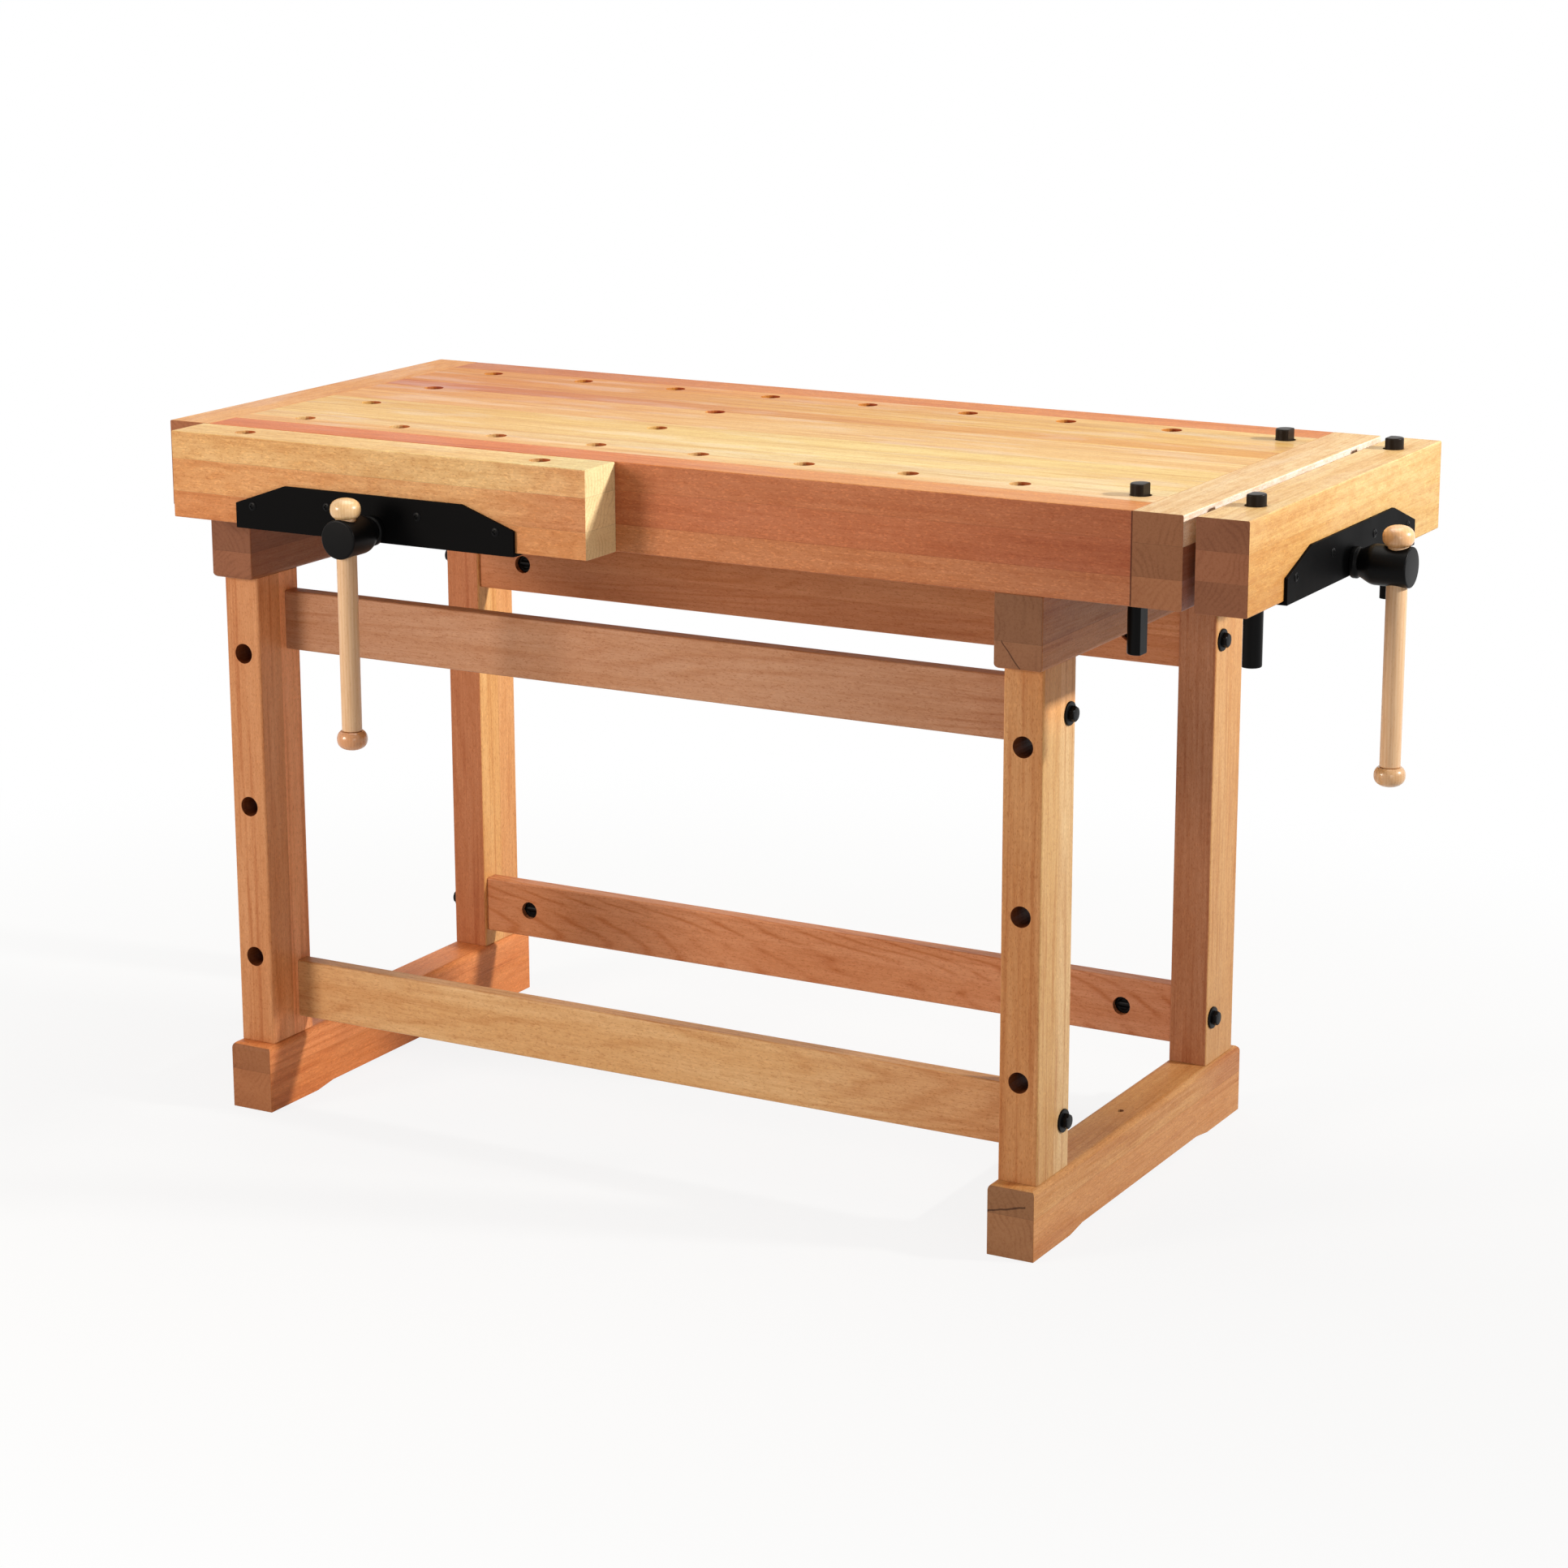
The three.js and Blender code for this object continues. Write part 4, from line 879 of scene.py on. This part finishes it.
for node in (name for name in bodyOf if name.endswith("rail_bolt")):
    low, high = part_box(node)
    outward = -1 if node.startswith("left") else 1
    middle = (low + high) / 2
    tip, inside = (low[0], high[0]) if outward < 0 else (high[0], low[0])
    underHead = tip - outward * boltSize["head"]
    seat = tip - outward * (boltSize["head"] + boltSize["washer"])
    foot = underHead - outward * boltSize["headFoot"]
    ring, wide = boltSize["headRing"], boltSize["washerRadius"]
    fillet = boltSize["washerRound"]
    washer = rounded([(0, seat, 0), (wide, seat, 0), (wide, underHead, fillet), (0, underHead, 0)])
    head = [(0, foot), (ring, foot), (ring, tip - outward * boltSize["chamferStart"])]
    head += [(halfFlats * share, tip - outward * below * mm) for share, below in boltSettings["chamfer"]]
    head.append((0, tip))
    thick, end = boltSize["shank"], outward * boltSize["shankEnd"]
    wall = [(thick - abs(end), inside), (thick, inside + end), (thick, seat + end)]
    shank = [(0, inside), *wall, (0, seat + end)]
    shells = [
        revolve(washer, boltSettings["washerSides"], 0, middle),
        revolve(head, boltSettings["headSides"], 0, middle, hexagon),
        revolve(shank, boltSettings["shankSides"], 0, middle),
    ]
    finishPiece(putMesh(node + "_hex", shells, sharp=30), node, boltPaint)


# Barrel nuts: turned across the rail, with a dished face set in from the mouth of the hole

nutSettings = {"setIn": 4.0, "dish": 2.0, "dishRadius": 6.5, "rim": 1.2, "boltHole": 5.5, "sides": 64}

for node in (name for name in bodyOf if name.endswith("barrel_nut")):
    low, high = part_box(node)
    boltLow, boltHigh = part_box(node.replace("barrel_nut", "rail_bolt"))
    radius = (high[2] - low[2]) / 2
    inward = 1 if "front" in node else -1  # the holes open towards the middle of the bench
    mouth, back = (high[1], low[1]) if inward > 0 else (low[1], high[1])
    face = mouth - inward * nutSettings["setIn"] * mm
    sunk = face - inward * nutSettings["dish"] * mm
    rim, inner = nutSettings["rim"] * mm, nutSettings["dishRadius"] * mm
    outline = rounded([(0, back, 0), (radius, back, rim), (radius, face, rim),
                       (inner + nutSettings["dish"] * mm, face, 0), (inner, sunk, 0), (0, sunk, 0)])
    nut = putMesh(node + "_barrel", [revolve(outline, nutSettings["sides"], 1, (low + high) / 2)])
    start, stop, bolt = low[0] - radius, high[0] + radius, nutSettings["boltHole"] * mm
    hole = [(0, start), (bolt, start), (bolt, stop), (0, stop)]
    hole = revolve(hole, nutSettings["sides"] // 2, 0, (boltLow + boltHigh) / 2)
    cutAway(nut, putMesh(node + "_hole", [hole]))
    nut.data.set_sharp_from_angle(angle=math.radians(38))
    finishPiece(nut, node, boltPaint)
print("dogs, bolts and nuts done")


# Floor, light and camera

stage = {
    "floor": 30.0,
    "drop": 0.4 * mm,
    "floorWhite": 0.72,
    "nearWhite": 0.86,  # how white the floor is seen beside the bench, where it keeps the shadow
    "reach": (1.5, 1.2),
    "ambient": 0.14,
    "skyTone": (1, 0.97, 0.94, 1),
}


def seenBehind(tree):
    # 1 for rays that see the background itself: straight, in a gloss or through glass
    ray = tree.add("ShaderNodeLightPath", out="Is Camera Ray")
    return ray.larger(ray.output("Is Glossy Ray")).larger(ray.output("Is Transmission Ray"))


world = bpy.data.worlds.new("studio")
bpy.context.scene.world = world
sky = Tree(world)
plain = sky.add("ShaderNodeBackground", None, {"Color": stage["skyTone"], "Strength": stage["ambient"]})
white = sky.add("ShaderNodeBackground", None, {"Color": (1, 1, 1, 1), "Strength": 1.0})
sky.join(sky.add("ShaderNodeMixShader", None, [seenBehind(sky), plain, white]), "World Output", "Surface")

half, drop = stage["floor"] / 2, -stage["drop"]
corners = [(-half, -half, drop), (half, -half, drop), (half, half, drop), (-half, half, drop)]
floorMesh = bpy.data.meshes.new("floor")
floorMesh.from_pydata(corners, [], [(0, 1, 2, 3)])
floor = bpy.data.objects.new("floor", floorMesh)
bpy.context.scene.collection.objects.link(floor)
floorTone = (*[stage["floorWhite"]] * 3, 1)
floorPaint = Paint("floor_pale", Base_Color=floorTone, Roughness=0.9, Specular_IOR_Level=0.1)
spot = floorPaint.spot()
away = ((spot["x"] / stage["reach"][0]) ** 2 + (spot["y"] / stage["reach"][1]) ** 2) ** 0.5
near = stage["nearWhite"]
fade = seenBehind(floorPaint) * (near + away.between(0.7, 1.6) * (1 - near))
shaded = Value(floorPaint, floorPaint.nodes["Principled BSDF"].outputs[0])
glow = floorPaint.add("ShaderNodeEmission", None, {"Strength": 1.0})
seen = floorPaint.add("ShaderNodeMixShader", None, [fade, shaded, glow])
floorPaint.join(seen, "Material Output", "Surface")
floorMesh.materials.append(floorPaint.material)

lamps = {
    "key": {"place": (3.75, 1.0, 2.35), "aim": (0.0, 1.0, 5.65), "size": 0.35,
            "power": 500, "colour": (1.0, 0.98, 0.94)},
    "overhead": {"place": (-0.2, 0.6, 4.4), "aim": (0.0, 0.0, 0.9), "size": 3.0,
                 "power": 95, "colour": (1.0, 0.96, 0.88)},
    "side": {"place": (3.2, -3.4, 1.3), "aim": (0.0, 0.0, 0.6), "size": 1.6,
             "power": 22, "colour": (1.0, 0.95, 0.88)},
    "front": {"place": (-2.3, -3.4, 1.7), "aim": (0.0, 0.0, 0.6), "size": 1.2,
              "power": 100, "colour": (1.0, 0.88, 0.76)},
}
for name, lamp in lamps.items():
    data = bpy.data.lights.new(name, "AREA")
    data.size, data.energy, data.color = lamp["size"], lamp["power"], lamp["colour"]
    holder = bpy.data.objects.new(name, data)
    bpy.context.scene.collection.objects.link(holder)
    holder.location = lamp["place"]
    aim = np.array(lamp["aim"]) - np.array(lamp["place"])
    holder.rotation_euler = Vector(aim).to_track_quat("-Z", "Y").to_euler()

view = {
    "azimuth": 29.17,
    "elevation": 14.496,
    "roll": -0.138,
    "lens": 88.293,
    "place": (2.28945, -4.1352, 1.7009),
}
cameraData = bpy.data.cameras.new("camera")
cameraData.lens, cameraData.sensor_width, cameraData.clip_end = view["lens"], 36.0, 100.0
camera = bpy.data.objects.new("camera", cameraData)
bpy.context.scene.collection.objects.link(camera)
turn = Matrix.Rotation(math.radians(view["azimuth"]), 4, "Z")
turn = turn @ Matrix.Rotation(math.radians(90 - view["elevation"]), 4, "X")
turn = turn @ Matrix.Rotation(math.radians(view["roll"]), 4, "Z")
camera.matrix_world = Matrix.Translation(view["place"]) @ turn
bpy.context.scene.camera = camera
bpy.context.scene.view_settings.view_transform = "Standard"
print("stage done")
